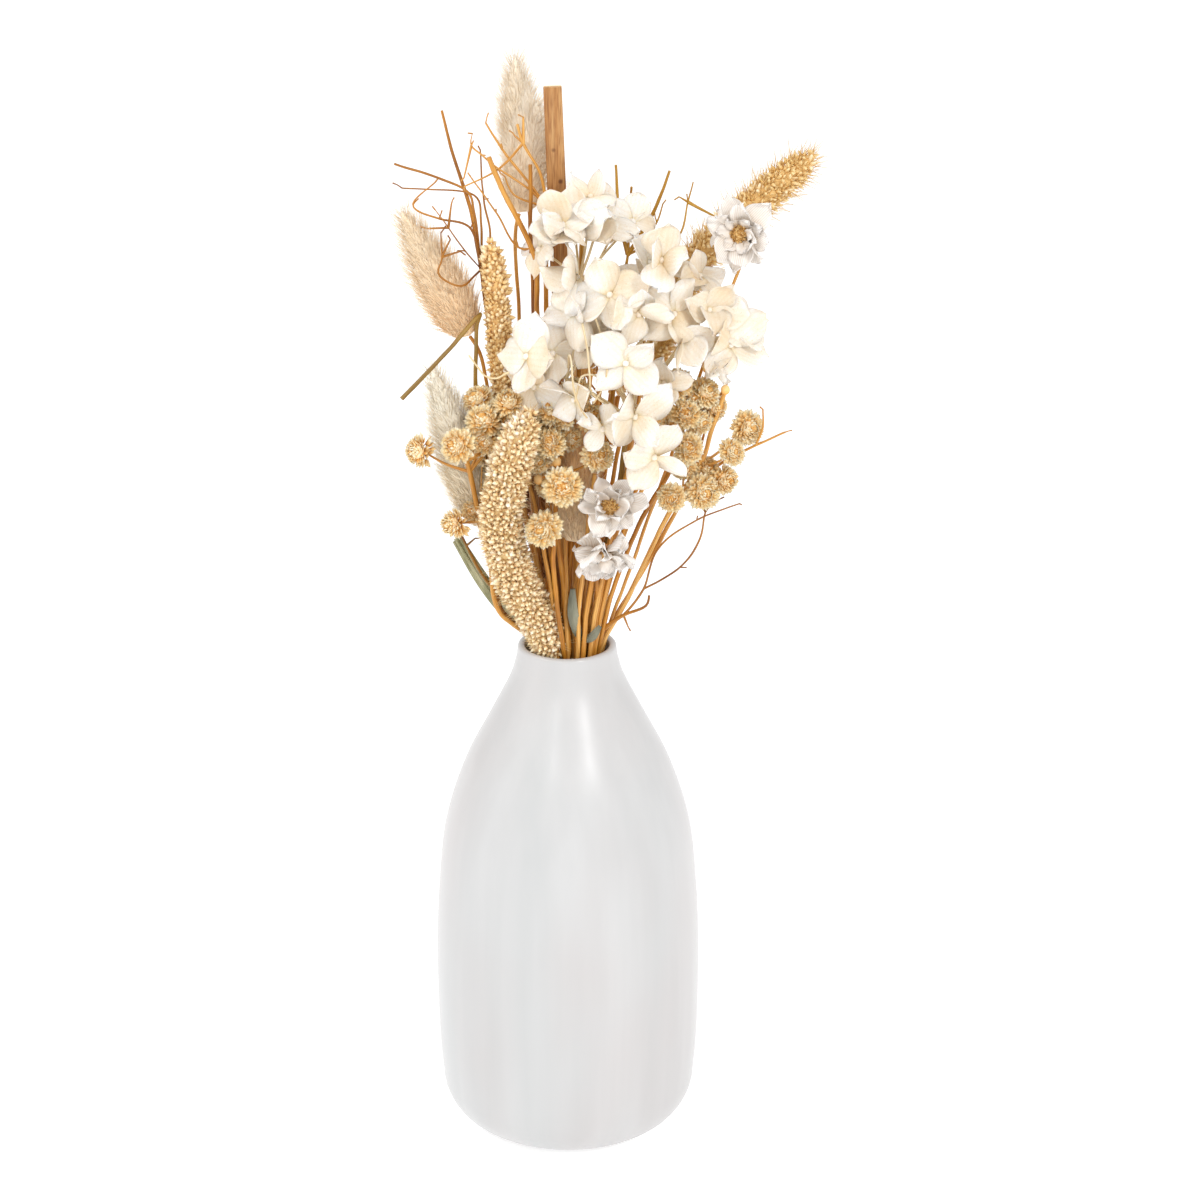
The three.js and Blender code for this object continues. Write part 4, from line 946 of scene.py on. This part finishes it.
def blade(name, length, half, outline, curl, thickness, columns, rows, seed=0, ripple=0.0, cup=0.0,
          twist=0.0):
    """A petal, bract or leaf along +X, face up: closed, with its own coordinates from foot to tip."""
    rng = random.Random(seed)
    wave = [rng.uniform(0, 2 * math.pi) for _ in range(3)]
    top, low, reach, flat = [], [], [], []
    for row in range(rows + 1):
        t = math.sin(math.pi / 2 * row / rows)
        width = half * outline(t)
        cosine, sine = math.cos(twist * t), math.sin(twist * t)
        for column in range(columns + 1):
            s = 2 * column / columns - 1
            x = length * (t - 0.08 * s * s * t)
            y = width * s
            z = curl * length * t * t + cup * width * s * s
            z += ripple * t * (math.sin(5 * t + 2.5 * s + wave[0]) + 0.6 * math.sin(7 * s + wave[1]) * abs(s))
            y, z = y * cosine - z * sine, y * sine + z * cosine
            lip = thickness * (0.3 + 0.7 * (1 - abs(s) ** 3)) / 2
            top.append((x, y, z + lip))
            low.append((x, y, z - lip))
            reach.append(t)
            flat.append((0.5 + 0.5 * s * outline(t), t))
    size = (rows + 1) * (columns + 1)
    faces = []
    for row in range(rows):
        for column in range(columns):
            a = row * (columns + 1) + column
            b, c, d = a + 1, a + columns + 2, a + columns + 1
            faces.append((a, d, c, b))
            faces.append((size + a, size + b, size + c, size + d))
    rim = list(range(columns + 1))
    rim += [row * (columns + 1) + columns for row in range(1, rows + 1)]
    rim += [rows * (columns + 1) + column for column in range(columns - 1, -1, -1)]
    rim += [row * (columns + 1) for row in range(rows - 1, 0, -1)]
    for a, b in zip(rim, rim[1:] + rim[:1]):
        faces.append((a, b, size + b, size + a))
    mesh = new_mesh(name, np.array(top + low) * MM, faces, reach=reach + reach)
    corners = np.zeros(len(mesh.loops), int)
    mesh.loops.foreach_get("vertex_index", corners)
    layer = mesh.uv_layers.new(name="petal")
    layer.data.foreach_set("uv", np.array(flat + flat, np.float32)[corners].ravel())
    mesh.shade_smooth()
    return mesh


def bead_mesh(radius, columns, rows, stretch=1.0):
    """A small round body, poles closed, with a reach of 1 on top."""
    ball = bmesh.new()
    bmesh.ops.create_uvsphere(ball, u_segments=columns, v_segments=rows, radius=radius * MM)
    bmesh.ops.scale(ball, vec=(1, 1, stretch), verts=ball.verts)
    mesh = bpy.data.meshes.new("bead")
    ball.to_mesh(mesh)
    ball.free()
    heights = np.array([v.co.z for v in mesh.vertices])
    mesh.attributes.new("reach", "FLOAT", "POINT").data.foreach_set(
        "value", (0.3 + 0.7 * (heights - heights.min()) / np.ptp(heights)).astype(np.float32))
    mesh.shade_smooth()
    return mesh


def whorl(unit, material, seed, count, radius, tilt, size, rise, jitter):
    """Units set round an axis; radius, tilt and size go from the outer units to the inner ones."""
    host = new_object("host", new_mesh("host", [], []))
    mesh = grow(
        WHORL_TREE, host, unit=unit, count=count, outer_radius=radius[0] * MM, inner_radius=radius[1] * MM,
        outer_tilt=tilt[0], inner_tilt=tilt[1], outer_size=size[0], inner_size=size[1], rise=rise * MM,
        jitter=jitter, seed=seed, material=material)
    return paint(mesh, material)


def strand(web, points, sizes):
    """Adds a line to a web of lines: its points, the edges between them and its half thicknesses."""
    places, edges, widths = web
    edges += [(len(places) + i, len(places) + i + 1) for i in range(len(points) - 1)]
    places += list(points)
    widths += list(sizes)


def round_stalks(web, material, step, sway, sides=8, unevenness=0.35, **marks):
    """Round stalks along a web of lines; the marks are values at the lines' points."""
    places, edges, widths = web
    host = new_object("lines", new_mesh("lines", places, [], edges, thick=widths, **marks))
    return grow(STALKS_TREE, host, sides=sides, step=step * MM, sway=sway * MM, unevenness=unevenness,
                material=material)


# Stalks read from the solids


def find(parents, i):
    """The root of a point's group, with the path to it made shorter."""
    while parents[i] != i:
        parents[i] = parents[parents[i]]
        i = parents[i]
    return i


def unit_vector(vector):
    return vector / np.linalg.norm(vector)


def stalk_lines(node, heads=()):
    """Centres, links and thicknesses of a node's stalks, from the rings of its solid. Points of it near a
    head or a blade, given as the points along it and a reach, count as the foot of that."""
    copy = welded(node)
    copy.verts.index_update()
    places = np.array([v.co[:] for v in copy.verts])
    edges = np.array([[e.verts[0].index, e.verts[1].index] for e in copy.edges])
    copy.free()
    total = len(places)
    parents = list(range(total + len(heads)))
    in_head = np.zeros(total, bool)
    for k, (line, radius) in enumerate(heads):
        gaps = np.linalg.norm(places[:, None] - np.array(line)[None] * MM, axis=2).min(1)
        for i in np.nonzero(gaps < radius * MM)[0]:
            in_head[i] = True
            parents[find(parents, i)] = find(parents, total + k)
    lengths = np.linalg.norm(places[edges[:, 0]] - places[edges[:, 1]], axis=1)
    for (a, b), length in zip(edges, lengths):
        if length < RING_EDGE * MM and not in_head[a] and not in_head[b]:
            parents[find(parents, a)] = find(parents, b)
    roots = [find(parents, i) for i in range(total)]
    order = {root: n for n, root in enumerate(sorted(set(roots)))}
    group = np.array([order[root] for root in roots])
    centres = np.array([places[group == n].mean(0) for n in range(len(order))])
    for k, (line, _) in enumerate(heads):
        if find(parents, total + k) in order:
            centres[order[find(parents, total + k)]] = np.array(line[0]) * MM
    pairs = {(min(group[a], group[b]), max(group[a], group[b])) for a, b in edges if group[a] != group[b]}
    tree = list(range(len(order)))
    links = {n: [] for n in range(len(order))}
    for a, b in sorted(pairs, key=lambda pair: (np.linalg.norm(centres[pair[0]] - centres[pair[1]]), pair)):
        if find(tree, a) != find(tree, b):
            tree[find(tree, a)] = find(tree, b)
            links[a].append(b)
            links[b].append(a)
    thick = np.zeros(len(order))
    for n in range(len(order)):
        near = [centres[m] for m in links[n]] or [centres[n]]
        way = (near[0] - centres[n]) if len(near) == 1 else (near[0] - near[-1])
        way = way / max(np.linalg.norm(way), 1e-9)
        spokes = places[group == n] - centres[n]
        spokes = spokes - np.outer(spokes @ way, way)
        thick[n] = np.median(np.linalg.norm(spokes, axis=1))
    return centres, links, thick


def stalk_paths(centres, links):
    """Splits the lines at their branchings into paths, each as straight as it can be, from the lowest up."""
    used = set()
    paths = []
    queue = [(int(np.argmin(centres[:, 2])), None)]
    while queue:
        start, first = queue.pop(0)
        path = [start] if first is None else [start, first]
        if first is not None:
            used.add((min(start, first), max(start, first)))
        while True:
            here = path[-1]
            open_links = [n for n in links[here] if (min(here, n), max(here, n)) not in used]
            if not open_links:
                break
            if len(path) > 1:
                way = unit_vector(centres[here] - centres[path[-2]])
                open_links.sort(key=lambda n: -(centres[n] - centres[here]) @ way / np.linalg.norm(
                    centres[n] - centres[here]))
            following = open_links[0]
            used.add((min(here, following), max(here, following)))
            queue += [(here, n) for n in open_links[1:]]
            path.append(following)
        if len(path) > 1:
            paths.append(path)
    return paths


def stalks_mesh(node, material, heads=(), sides=8, step=2.2, tone=0.5, forks=None, crowd=(),
                limits=STALK_LIMITS):
    """The round stalks of a node, along the lines of its solid; `forks` draws twiglets on thin branches, each
    point in `crowd` gets a pedicel from the nearest place below it, and `limits` are the most that the main
    stalk and its branches measure from their middle."""
    centres, links, thick = stalk_lines(node, heads)
    web = [], [], []
    for number, path in enumerate(stalk_paths(centres, links)):
        sizes = []
        for i in range(len(path)):
            near = [thick[n] for n in path[max(i - 2, 0):i + 3] if len(links[n]) < 3]
            size = float(np.median(near or [min(thick[n] for n in path)]))
            size *= 1.0 if size < THIN * MM else SLIM_STALK
            sizes.append(min(size, limits[1 if number else 0] * MM))
        typical = float(np.median(sizes))
        if number:
            sizes = [size * (1.1 - TAPER * i / (len(path) - 1)) for i, size in enumerate(sizes)]
        strand(web, [centres[n] for n in path], sizes)
        if forks and typical < THIN * MM:
            way = unit_vector(centres[path[-1]] - centres[path[-2]])
            others = [centres[n] for n in path[1:-1] if forks.random() < FORK_SHARE]
            for start in [centres[path[-1]]] + others:
                aim = way + np.array([forks.uniform(-1, 1) for _ in range(3)]) * FORK_STRAY
                aim = aim / np.linalg.norm(aim) * forks.uniform(*FORK_LENGTHS) * MM
                bend = np.array([forks.uniform(-FORK_BEND, FORK_BEND) for _ in range(3)]) * MM
                strand(web, [start, start + aim * 0.5 + bend, start + aim],
                       [width * MM for width in FORK_WIDTHS])
    for point in crowd:
        head = np.array(point) * MM
        below = [centre for centre in centres if centre[2] < head[2] - 5 * MM]
        start = min(below, key=lambda centre: np.linalg.norm(centre - head))
        middle = (start + head) / 2 + np.array(PEDICEL_SAG) * MM
        strand(web, [start, middle, head], [width * MM for width in PEDICEL_WIDTHS])
    return paint(round_stalks(web, material, step, 1.0, sides), material, tone)


# Pieces


def make_vase():
    outline = []
    for step in range(ARC_STEPS + 1):
        angle = math.pi / 2 * step / ARC_STEPS
        outline.append((FOOT_RADIUS + FOOT_ROUNDING * math.sin(angle), FOOT_ROUNDING * (1 - math.cos(angle))))
    outline += list(smooth_line([outline[-1]] + BODY, 7)[1:])
    for step in range(ARC_STEPS + 1):
        angle = math.pi * step / ARC_STEPS
        outline.append((MOUTH_RADIUS + LIP_RADIUS + LIP_RADIUS * math.cos(angle),
                        VASE_HEIGHT - LIP_RADIUS + LIP_RADIUS * math.sin(angle)))
    inner = [(MOUTH_RADIUS, VASE_HEIGHT - THROAT_DEPTH)]
    inner += [(radius - WALL, height) for radius, height in reversed(BODY[:7])]
    outline += list(smooth_line(inner + INNER_FOOT, 5))
    places = [(0, 0, 0)]
    for radius, height in outline:
        for k in range(VASE_SEGMENTS):
            angle = 2 * math.pi * k / VASE_SEGMENTS
            places.append((radius * math.cos(angle) * MM, radius * math.sin(angle) * MM, height * MM))
    places.append((0, 0, INNER_FLOOR * MM))
    mesh = new_mesh("bottle_vase", places, ring_faces(VASE_SEGMENTS, len(outline)))
    mesh.shade_smooth()
    piece("bottle_vase", paint(mesh, glaze()), "glaze", "vase")


def tail_core(t, half):
    """Half width of the body under a tail's fur: an egg, widest near its foot."""
    egg = max(0.02, math.sin(math.pi * min(1, t * 0.94 + 0.06) ** 0.72)) ** 0.75
    return (half - FUR_DEPTH) * egg * (1 - TAIL_TAPER * t * t)


def make_tails():
    hair = hair_unit(HAIR_LENGTH, HAIR_HALF, HAIR_BEND, 2)
    for number, (name, (base, tip, half, foot_colour, tip_colour)) in enumerate(TAILS.items()):
        material = tail_hair(f"seed_hair_{name}", foot_colour, tip_colour)
        axis = [Vector(base).lerp(Vector(tip), t) for t in (0, 0.35, 0.7, 1)]
        core = new_object("core", sleeve(axis, 20, 26, lambda t: tail_core(t, half)))
        mesh = grow(SCATTER_TREE, core, unit=hair, density=HAIRS_PER_SQUARE_METRE, spacing=0.01 * MM,
                    seed=SEED + number, outward=0.6, lean=1.1, jitter=0.3, smallest=0.35, largest=1.2,
                    skin_tone=1.0, skin_reach=1.0, material=material)
        piece(f"bunny_tail_{name}", paint(mesh, material), "bunny_tail_hair", f"bunny_tail_{name}_head")


def spike_core(t, half, low, sink):
    """Half width of the body under a spike's grains: narrower at its foot, round at its tip."""
    foot = low + (1 - low) * min(1, t / 0.22) ** 0.8
    crown = math.sqrt(max(0, 1 - max(0, (t - 0.8) / 0.2) ** 2.4))
    return max(0.3, half * foot * crown * min(1, t / 0.03) - sink)


def make_spikes():
    for number, (name, spike) in enumerate(SPIKES.items()):
        material = grain(*spike["finish"])
        bunch = bunch_unit(SEED + number, **spike["bunch"])
        shape = spike["half"], spike["low"], spike["sink"]
        core = new_object("core", sleeve(spike["axis"], 22, 60, lambda t: spike_core(t, *shape)))
        # The core's middling tone and low reach paint it in shade where it shows between the bunches
        mesh = grow(SCATTER_TREE, core, unit=bunch, density=BUNCHES_PER_SQUARE_METRE,
                    spacing=spike["spacing"] * MM, seed=SEED + 20 + number, outward=0.9, lean=spike["lean"],
                    jitter=0.35, smallest=0.75, largest=1.15, skin_tone=0.5, skin_reach=0.4,
                    material=material)
        slot = "brown_grain" if name == "back" else "millet_grain"
        piece(f"spike_{name}", paint(mesh, material), slot, f"spike_{name}_head")


def petal_outline(t, point):
    """Half width of a hydrangea petal: a narrow claw, broad at the middle, then a round or pointed end."""
    if t < 0.5:
        return 0.14 + 0.86 * math.sin(math.pi * t) ** 0.9
    return max(0.04, (1 - (2 * t - 1) ** 2.2) ** point)


def make_hydrangea():
    tissue = petal()
    rng = random.Random(SEED + 40)
    web = [], [], []

    def pedicel(points, start, end):
        last = len(points) - 1
        strand(web, [Vector(point) * MM for point in points],
               [(start + (end - start) * i / last) * MM for i in range(last + 1)])

    foot = Vector(BLOOM_FOOT)
    for fork in BLOOM_FORKS:
        pedicel([foot, foot.lerp(Vector(fork), 0.5) + Vector((0, 2, 0)), fork], 0.9, 0.65)
    for curl in BARE_PEDICELS:
        pedicel(even_line(curl, 10), 0.4, 0.28)
    parts, places = [], []
    for x, y, z, turn, lift, spin, span, fork in FLORETS:
        matrix = facing((x, y, z), turn, lift, spin)
        back = -(matrix.to_3x3() @ Vector((0, 0, 1)))
        start, centre = Vector(BLOOM_FORKS[fork]), Vector((x, y, z))
        pedicel([start, start.lerp(centre, 0.55) + back * 2.5, centre], 0.45, 0.38)
        openness = rng.uniform(*FLORET_OPENNESS)
        for k in range(4):
            length = span / 2 * rng.uniform(*PETAL["length"])
            half = length * rng.uniform(*PETAL["half"])
            point = rng.uniform(*PETAL["point"])
            mesh = blade("petal", length, half, lambda t: petal_outline(t, point),
                         rng.uniform(*PETAL["curl"]), PETAL_THICKNESS, 8, 12, rng.randrange(10 ** 6),
                         RIPPLE_SHARE * span * rng.uniform(*PETAL["ripple"]), rng.uniform(*PETAL["cup"]),
                         rng.uniform(*PETAL["twist"]))
            parts.append(paint(mesh, tissue, rng.random()))
            turn_in = Matrix.Rotation((k + 0.5) * math.pi / 2 + rng.uniform(*PETAL["turn"]), 4, "Z")
            tilt = Matrix.Rotation(openness + rng.uniform(*PETAL["tilt"]), 4, "Y")
            roll = Matrix.Rotation(rng.uniform(*PETAL["roll"]), 4, "X")
            every_other_above = Matrix.Translation((0, 0, (k % 2) * 0.5 * MM))
            places.append(matrix @ every_other_above @ turn_in @ tilt @ roll)
        parts.append(paint(bead_mesh(1.1, 8, 6), tissue, 0.3))
        places.append(matrix @ Matrix.Translation((0, 0, 0.5 * MM)))
    bloom = join_meshes("hydrangea_petals", parts, places)
    piece("hydrangea_petals", bloom, "hydrangea_petal", "hydrangea_bloom")
    cream = stalk("cream_pedicel", "#C9AE7E", "#E4CFA2", "#EFE2C2")
    pedicels = paint(round_stalks(web, cream, 1.2, 1.2, unevenness=0.3), cream, 0.6)
    piece("hydrangea_pedicels", pedicels, "hydrangea_petal", "hydrangea_bloom")


def bract_outline(t):
    """Half width of a papery bract: broad from near its foot, with a short point."""
    if t < 0.5:
        return 0.4 + 0.6 * math.sin(math.pi / 2 * t / 0.5)
    return max(0.04, (1 - ((t - 0.5) / 0.5) ** 2.2) ** 0.55)


def make_strawflowers():
    paper = bract()
    heart = floret_disc()
    for number, (name, (at, turn, lift, half)) in enumerate(STRAWFLOWERS.items()):
        rng = random.Random(SEED + 50 + number)
        seat = facing(at, turn, lift)
        parts, places = [], []
        for layer, (count, share, tilt, curl) in enumerate(BRACT_RINGS):
            for k in range(count):
                length = half * share * rng.uniform(*BRACT["length"])
                mesh = blade("bract", length, length * rng.uniform(*BRACT["half"]), bract_outline,
                             curl + rng.uniform(*BRACT["curl"]), BRACT_THICKNESS, 8, 10,
                             rng.randrange(10 ** 6), BRACT_RIPPLE, rng.uniform(*BRACT["cup"]),
                             rng.uniform(*BRACT["twist"]))
                parts.append(paint(mesh, paper, rng.random()))
                around = 2 * math.pi * (k + 0.5 * (layer % 2)) / count + rng.uniform(*BRACT["turn"])
                out = Matrix.Translation((1.9 * MM, 0, 0.4 * layer * MM))
                lean = Matrix.Rotation(-tilt + rng.uniform(*BRACT["tilt"]), 4, "Y")
                roll = Matrix.Rotation(rng.uniform(*BRACT["roll"]), 4, "X")
                places.append(seat @ Matrix.Rotation(around, 4, "Z") @ out @ lean @ roll)
        tube = new_unit(bead_mesh(0.42, 6, 4, 2.2))
        disc = whorl(tube, heart, SEED + number, 90, (3.0, 0.1), (0.3, 0.0), (1.0, 0.8), 1.2, 0.2)
        disc.transform(seat @ Matrix.Translation((0, 0, 1.2 * MM)))
        node = f"strawflower_{name}"
        piece(f"{node}_bracts", join_meshes("bracts", parts, places), "papery_bract", f"{node}_head")
        piece(f"{node}_disc", disc, "papery_bract", f"{node}_head")


def keeled_bract(length, half):
    """A small pointed bract along +X, hollowed above and keeled below, in few faces."""
    places, reach = [(0, 0, 0)], [0.0]
    for t, width, rise in ((0.35, 0.8, 0.02), (0.72, 1.0, 0.1)):
        x, y, z = length * t, half * width, length * rise
        places += [(x, y, z + 0.3 * y), (x, 0, z + 0.02), (x, -y, z + 0.3 * y), (x, 0, z - 0.14)]
        reach += [t] * 4
    places.append((length, 0, 0.24 * length))
    reach.append(1.0)
    faces = []
    for corner in range(4):
        a, b = 1 + corner, 1 + (corner + 1) % 4
        faces += [(0, b, a), (a, b, b + 4, a + 4), (a + 4, b + 4, 9)]
    return new_unit(new_mesh("keeled_bract", np.array(places) * MM, faces, reach=reach))


def make_daisies(straw):
    cream = daisy()
    honey = daisy_eye()
    bracts = keeled_bract(*DAISY_BRACT)
    tube = new_unit(bead_mesh(0.36, 5, 4, 2.0))
    heads, eyes = [], []
    for variant in range(DAISY_VARIANTS):
        ring = whorl(bracts, cream, SEED + variant, 125, (2.0, 1.2), (-0.5, 1.25), (1.1, 0.75), 3.0, 0.5)
        disc = whorl(tube, honey, SEED + variant, 26, (1.3, 0.1), (0.4, 0.0), (1.0, 0.8), 0.8, 0.3)
        disc.transform(Matrix.Translation((0, 0, 3.6 * MM)))
        low = paint(bead_mesh(2.5, 10, 8, 0.95), cream, 0.8)
        low.transform(Matrix.Translation((0, 0, 1.8 * MM)))
        heads.append(join_meshes("head", [ring, low]))
        eyes.append(disc)
    rng = random.Random(SEED + 60)
    for name, (blooms, buds, crowd) in SPRAYS.items():
        places, parts, hearts = [], [], []
        for x, y, z, half, turn, lift in blooms + crowd:
            kind = rng.randrange(DAISY_VARIANTS)
            parts.append(heads[kind])
            hearts.append(eyes[kind])
            size = half / DAISY_HALF
            uneven = Matrix.Diagonal([size * rng.uniform(0.88, 1.12) for _ in range(3)] + [1])
            places.append(facing((x, y, z), turn, lift, rng.uniform(0, 360)) @ uneven)
        node = f"daisy_spray_{name}"
        piece(f"{node}_eyes", join_meshes(f"{node}_eyes", hearts, places), "daisy_cream", node)
        for bud in buds:
            parts.append(paint(bead_mesh(1.5, 10, 8, 1.1), cream, 0.0))
            places.append(Matrix.Translation(Vector(bud) * MM))
        piece(f"{node}_heads", join_meshes(f"{node}_heads", parts, places), "daisy_cream", node)
        around = [([bloom[:3]], bloom[3] * 1.12) for bloom in blooms] + [([bud], 1.7) for bud in buds]
        branches = stalks_mesh(node, straw, around, sides=6, tone=rng.random(),
                               crowd=[bloom[:3] for bloom in crowd], limits=TWIG_LIMITS)
        piece(f"{node}_branches", branches, "golden_stalk", node)


def make_stalks(straw):
    olive = stalk("olive_straw", "#8A6C30", "#B58F45", "#D2B26E")
    brown = stalk("brown_straw", "#704A12", "#AC7A20", "#CEA242")
    rng = random.Random(SEED + 70)
    for node in sorted(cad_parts):
        if node.startswith(("twigs_", "stalk_")) or node.endswith("_stem"):
            material, slot = straw, "golden_stalk"
            if node in ("hydrangea_stem", "stalk_snapped"):
                material, slot = olive, "olive_stalk"
            elif node.startswith(("stalk_back", "spike_back", "twigs_upper", "twigs_low")):
                material = brown
            if node.startswith("twigs_"):
                mesh = stalks_mesh(node, material, step=1.2, tone=rng.uniform(0.1, 0.6), forks=rng)
            else:
                mesh = stalks_mesh(node, material, tone=rng.uniform(0.1, 0.8))
            piece(f"{node}_fine", mesh, slot, node)
    web = [], [], []
    tones = []
    for mouth, head, half in STRAWS:
        foot = (-0.9 * mouth[0], -0.5 * mouth[1], INNER_FLOOR + 2)
        line = even_line([foot, mouth, head], 9) * MM
        strand(web, line, [half * MM] * len(line))
        tones += [rng.uniform(0.25, 1.0)] * len(line)
    straws = paint(round_stalks(web, straw, 3, 1.6, tone=tones), straw)
    piece("packed_straws", straws, "golden_stalk", "stalk_short")


def make_slat():
    copy = welded("slat")
    bmesh.ops.dissolve_limit(copy, angle_limit=math.radians(2), verts=copy.verts, edges=copy.edges)
    sharp = [edge for edge in copy.edges if edge.calc_face_angle(0) > math.radians(40)]
    bmesh.ops.bevel(copy, geom=sharp, offset=0.22 * MM, segments=2, affect="EDGES")
    bmesh.ops.triangulate(copy, faces=copy.faces)
    mesh = bpy.data.meshes.new("wooden_slat")
    copy.to_mesh(mesh)
    copy.free()
    piece("wooden_slat", paint(mesh, slat_wood()), "slat_wood", "slat")


def leaf_outline(t):
    return 0.35 + 0.65 * math.sin(math.pi * (0.1 + 0.86 * t))


def leaf_along(name, points, half, fold, material, seed):
    """A folded blade laid along its midrib's points, wavy across its width."""
    mesh = blade(name, 1.0, 1.0, leaf_outline, 0.0, 0.0, LEAF_COLUMNS, LEAF_ROWS, seed)
    line = even_line(points, LEAF_ROWS + 1) * MM
    ways = ways_along(line)
    face = Vector((0, -1, 0.4)).normalized()
    count = len(mesh.vertices) // 2
    for i, vertex in enumerate(mesh.vertices):
        row, column = divmod(i % count, LEAF_COLUMNS + 1)
        s = 2 * column / LEAF_COLUMNS - 1
        along = Vector(ways[row])
        across = along.cross(face).normalized()
        out = across.cross(along)
        width = half * MM * leaf_outline(row / LEAF_ROWS)
        height = fold * width * (1 - abs(s)) + LEAF_WAVE * MM * math.cos(4 * math.pi * s)
        thick = LEAF_HALF_THICKNESS * MM * (1 if i < count else -1)
        vertex.co = Vector(line[row]) + across * (s * width) + out * (height + thick)
    return paint(mesh, material, 0.5)


def make_leaves():
    rib = stalk("leaf_rib", "#76743F", "#9B955C", "#C2B98A")
    green = leaf_skin("dry_green_leaf", "#84815A", "#A5A178", "#D2CBA8")
    grey = leaf_skin("dry_grey_leaf", "#585A4C", "#7A7B6B", "#9F9D88")
    blades = []
    for number, ((x, y, z), half, fold) in enumerate(GREEN_BLADES):
        line = [(x + a, y + b, z + c) for a, b, c in GREEN_LEAF]
        blades.append(leaf_along("green_blade", line, half, fold, green, number))
    piece("green_leaf_blades", join_meshes("green_leaf_blades", blades), "green_leaf", "green_leaf")
    blades = [leaf_along("grey_blade", line, half, 0.5, grey, number)
              for number, (line, half) in enumerate(GREY_LEAVES)]
    piece("grey_leaf_blades", join_meshes("grey_leaf_blades", blades), "grey_leaf", "grey_leaves")
    for node, lines in (("green_leaf", [GREEN_LEAF]), ("grey_leaves", [line for line, _ in GREY_LEAVES])):
        around = [(even_line(line, 16), 3.2) for line in lines]
        mesh = stalks_mesh(node, rib, around, tone=0.4, limits=LEAF_LIMITS)
        piece(f"{node}_stalk", mesh, "olive_stalk", node)


# Studio


def make_studio():
    scene = bpy.context.scene
    scene.view_settings.view_transform = "Standard"
    camera = bpy.data.objects.new("camera", bpy.data.cameras.new("camera"))
    scene.collection.objects.link(camera)
    back = direction(0, CAMERA_DROP)
    camera.location = (Vector(CAMERA_TARGET) + back * CAMERA_DISTANCE) * MM
    camera.rotation_mode = "QUATERNION"
    camera.rotation_quaternion = (-back).to_track_quat("-Z", "Y")
    camera.data.lens = LENS
    camera.data.sensor_width = SENSOR
    camera.data.clip_start = 0.05
    camera.data.clip_end = 20
    scene.camera = camera

    corners = [(-FLOOR_HALF, -FLOOR_HALF, 0), (FLOOR_HALF, -FLOOR_HALF, 0), (FLOOR_HALF, FLOOR_HALF, 0),
               (-FLOOR_HALF, FLOOR_HALF, 0)]
    floor = new_object("floor", new_mesh("floor", corners, [(0, 1, 2, 3)]))
    # White paper sweep: matt, and lit through so that it stays white around the vase
    material, _, _ = finish(
        "white_paper_sweep", 0.9, Base_Color=linear("#D0D0D0"), Specular_IOR_Level=0.0,
        Emission_Color=linear("#FFFFFF"), Emission_Strength=0.6)
    paint(floor.data, material)

    world = bpy.data.worlds.new("studio")
    world.use_nodes = True
    fill(world.node_tree, world.node_tree.nodes["Background"], {"Color": (1, 1, 1, 1), "Strength": 0.91})
    scene.world = world
    for name, turn, lift, width, height, power in LAMPS:
        lamp = bpy.data.objects.new(name, bpy.data.lights.new(name, "AREA"))
        lamp.data.shape = "RECTANGLE"
        lamp.data.size = width
        lamp.data.size_y = height
        lamp.data.energy = power
        out = direction(turn, lift)
        lamp.location = Vector(LAMP_TARGET) + out * LAMP_DISTANCE
        lamp.rotation_mode = "QUATERNION"
        lamp.rotation_quaternion = (-out).to_track_quat("-Z", "Y")
        scene.collection.objects.link(lamp)


STALKS_TREE = stalk_tree()
SCATTER_TREE = scatter_tree()
WHORL_TREE = whorl_tree()

golden_straw = stalk("golden_straw", "#864E0F", "#CA8A2E", "#E6B364")
make_studio()
make_vase()
make_stalks(golden_straw)
make_tails()
make_spikes()
make_hydrangea()
make_strawflowers()
make_daisies(golden_straw)
make_slat()
make_leaves()

for body in units:
    bpy.data.objects.remove(body)
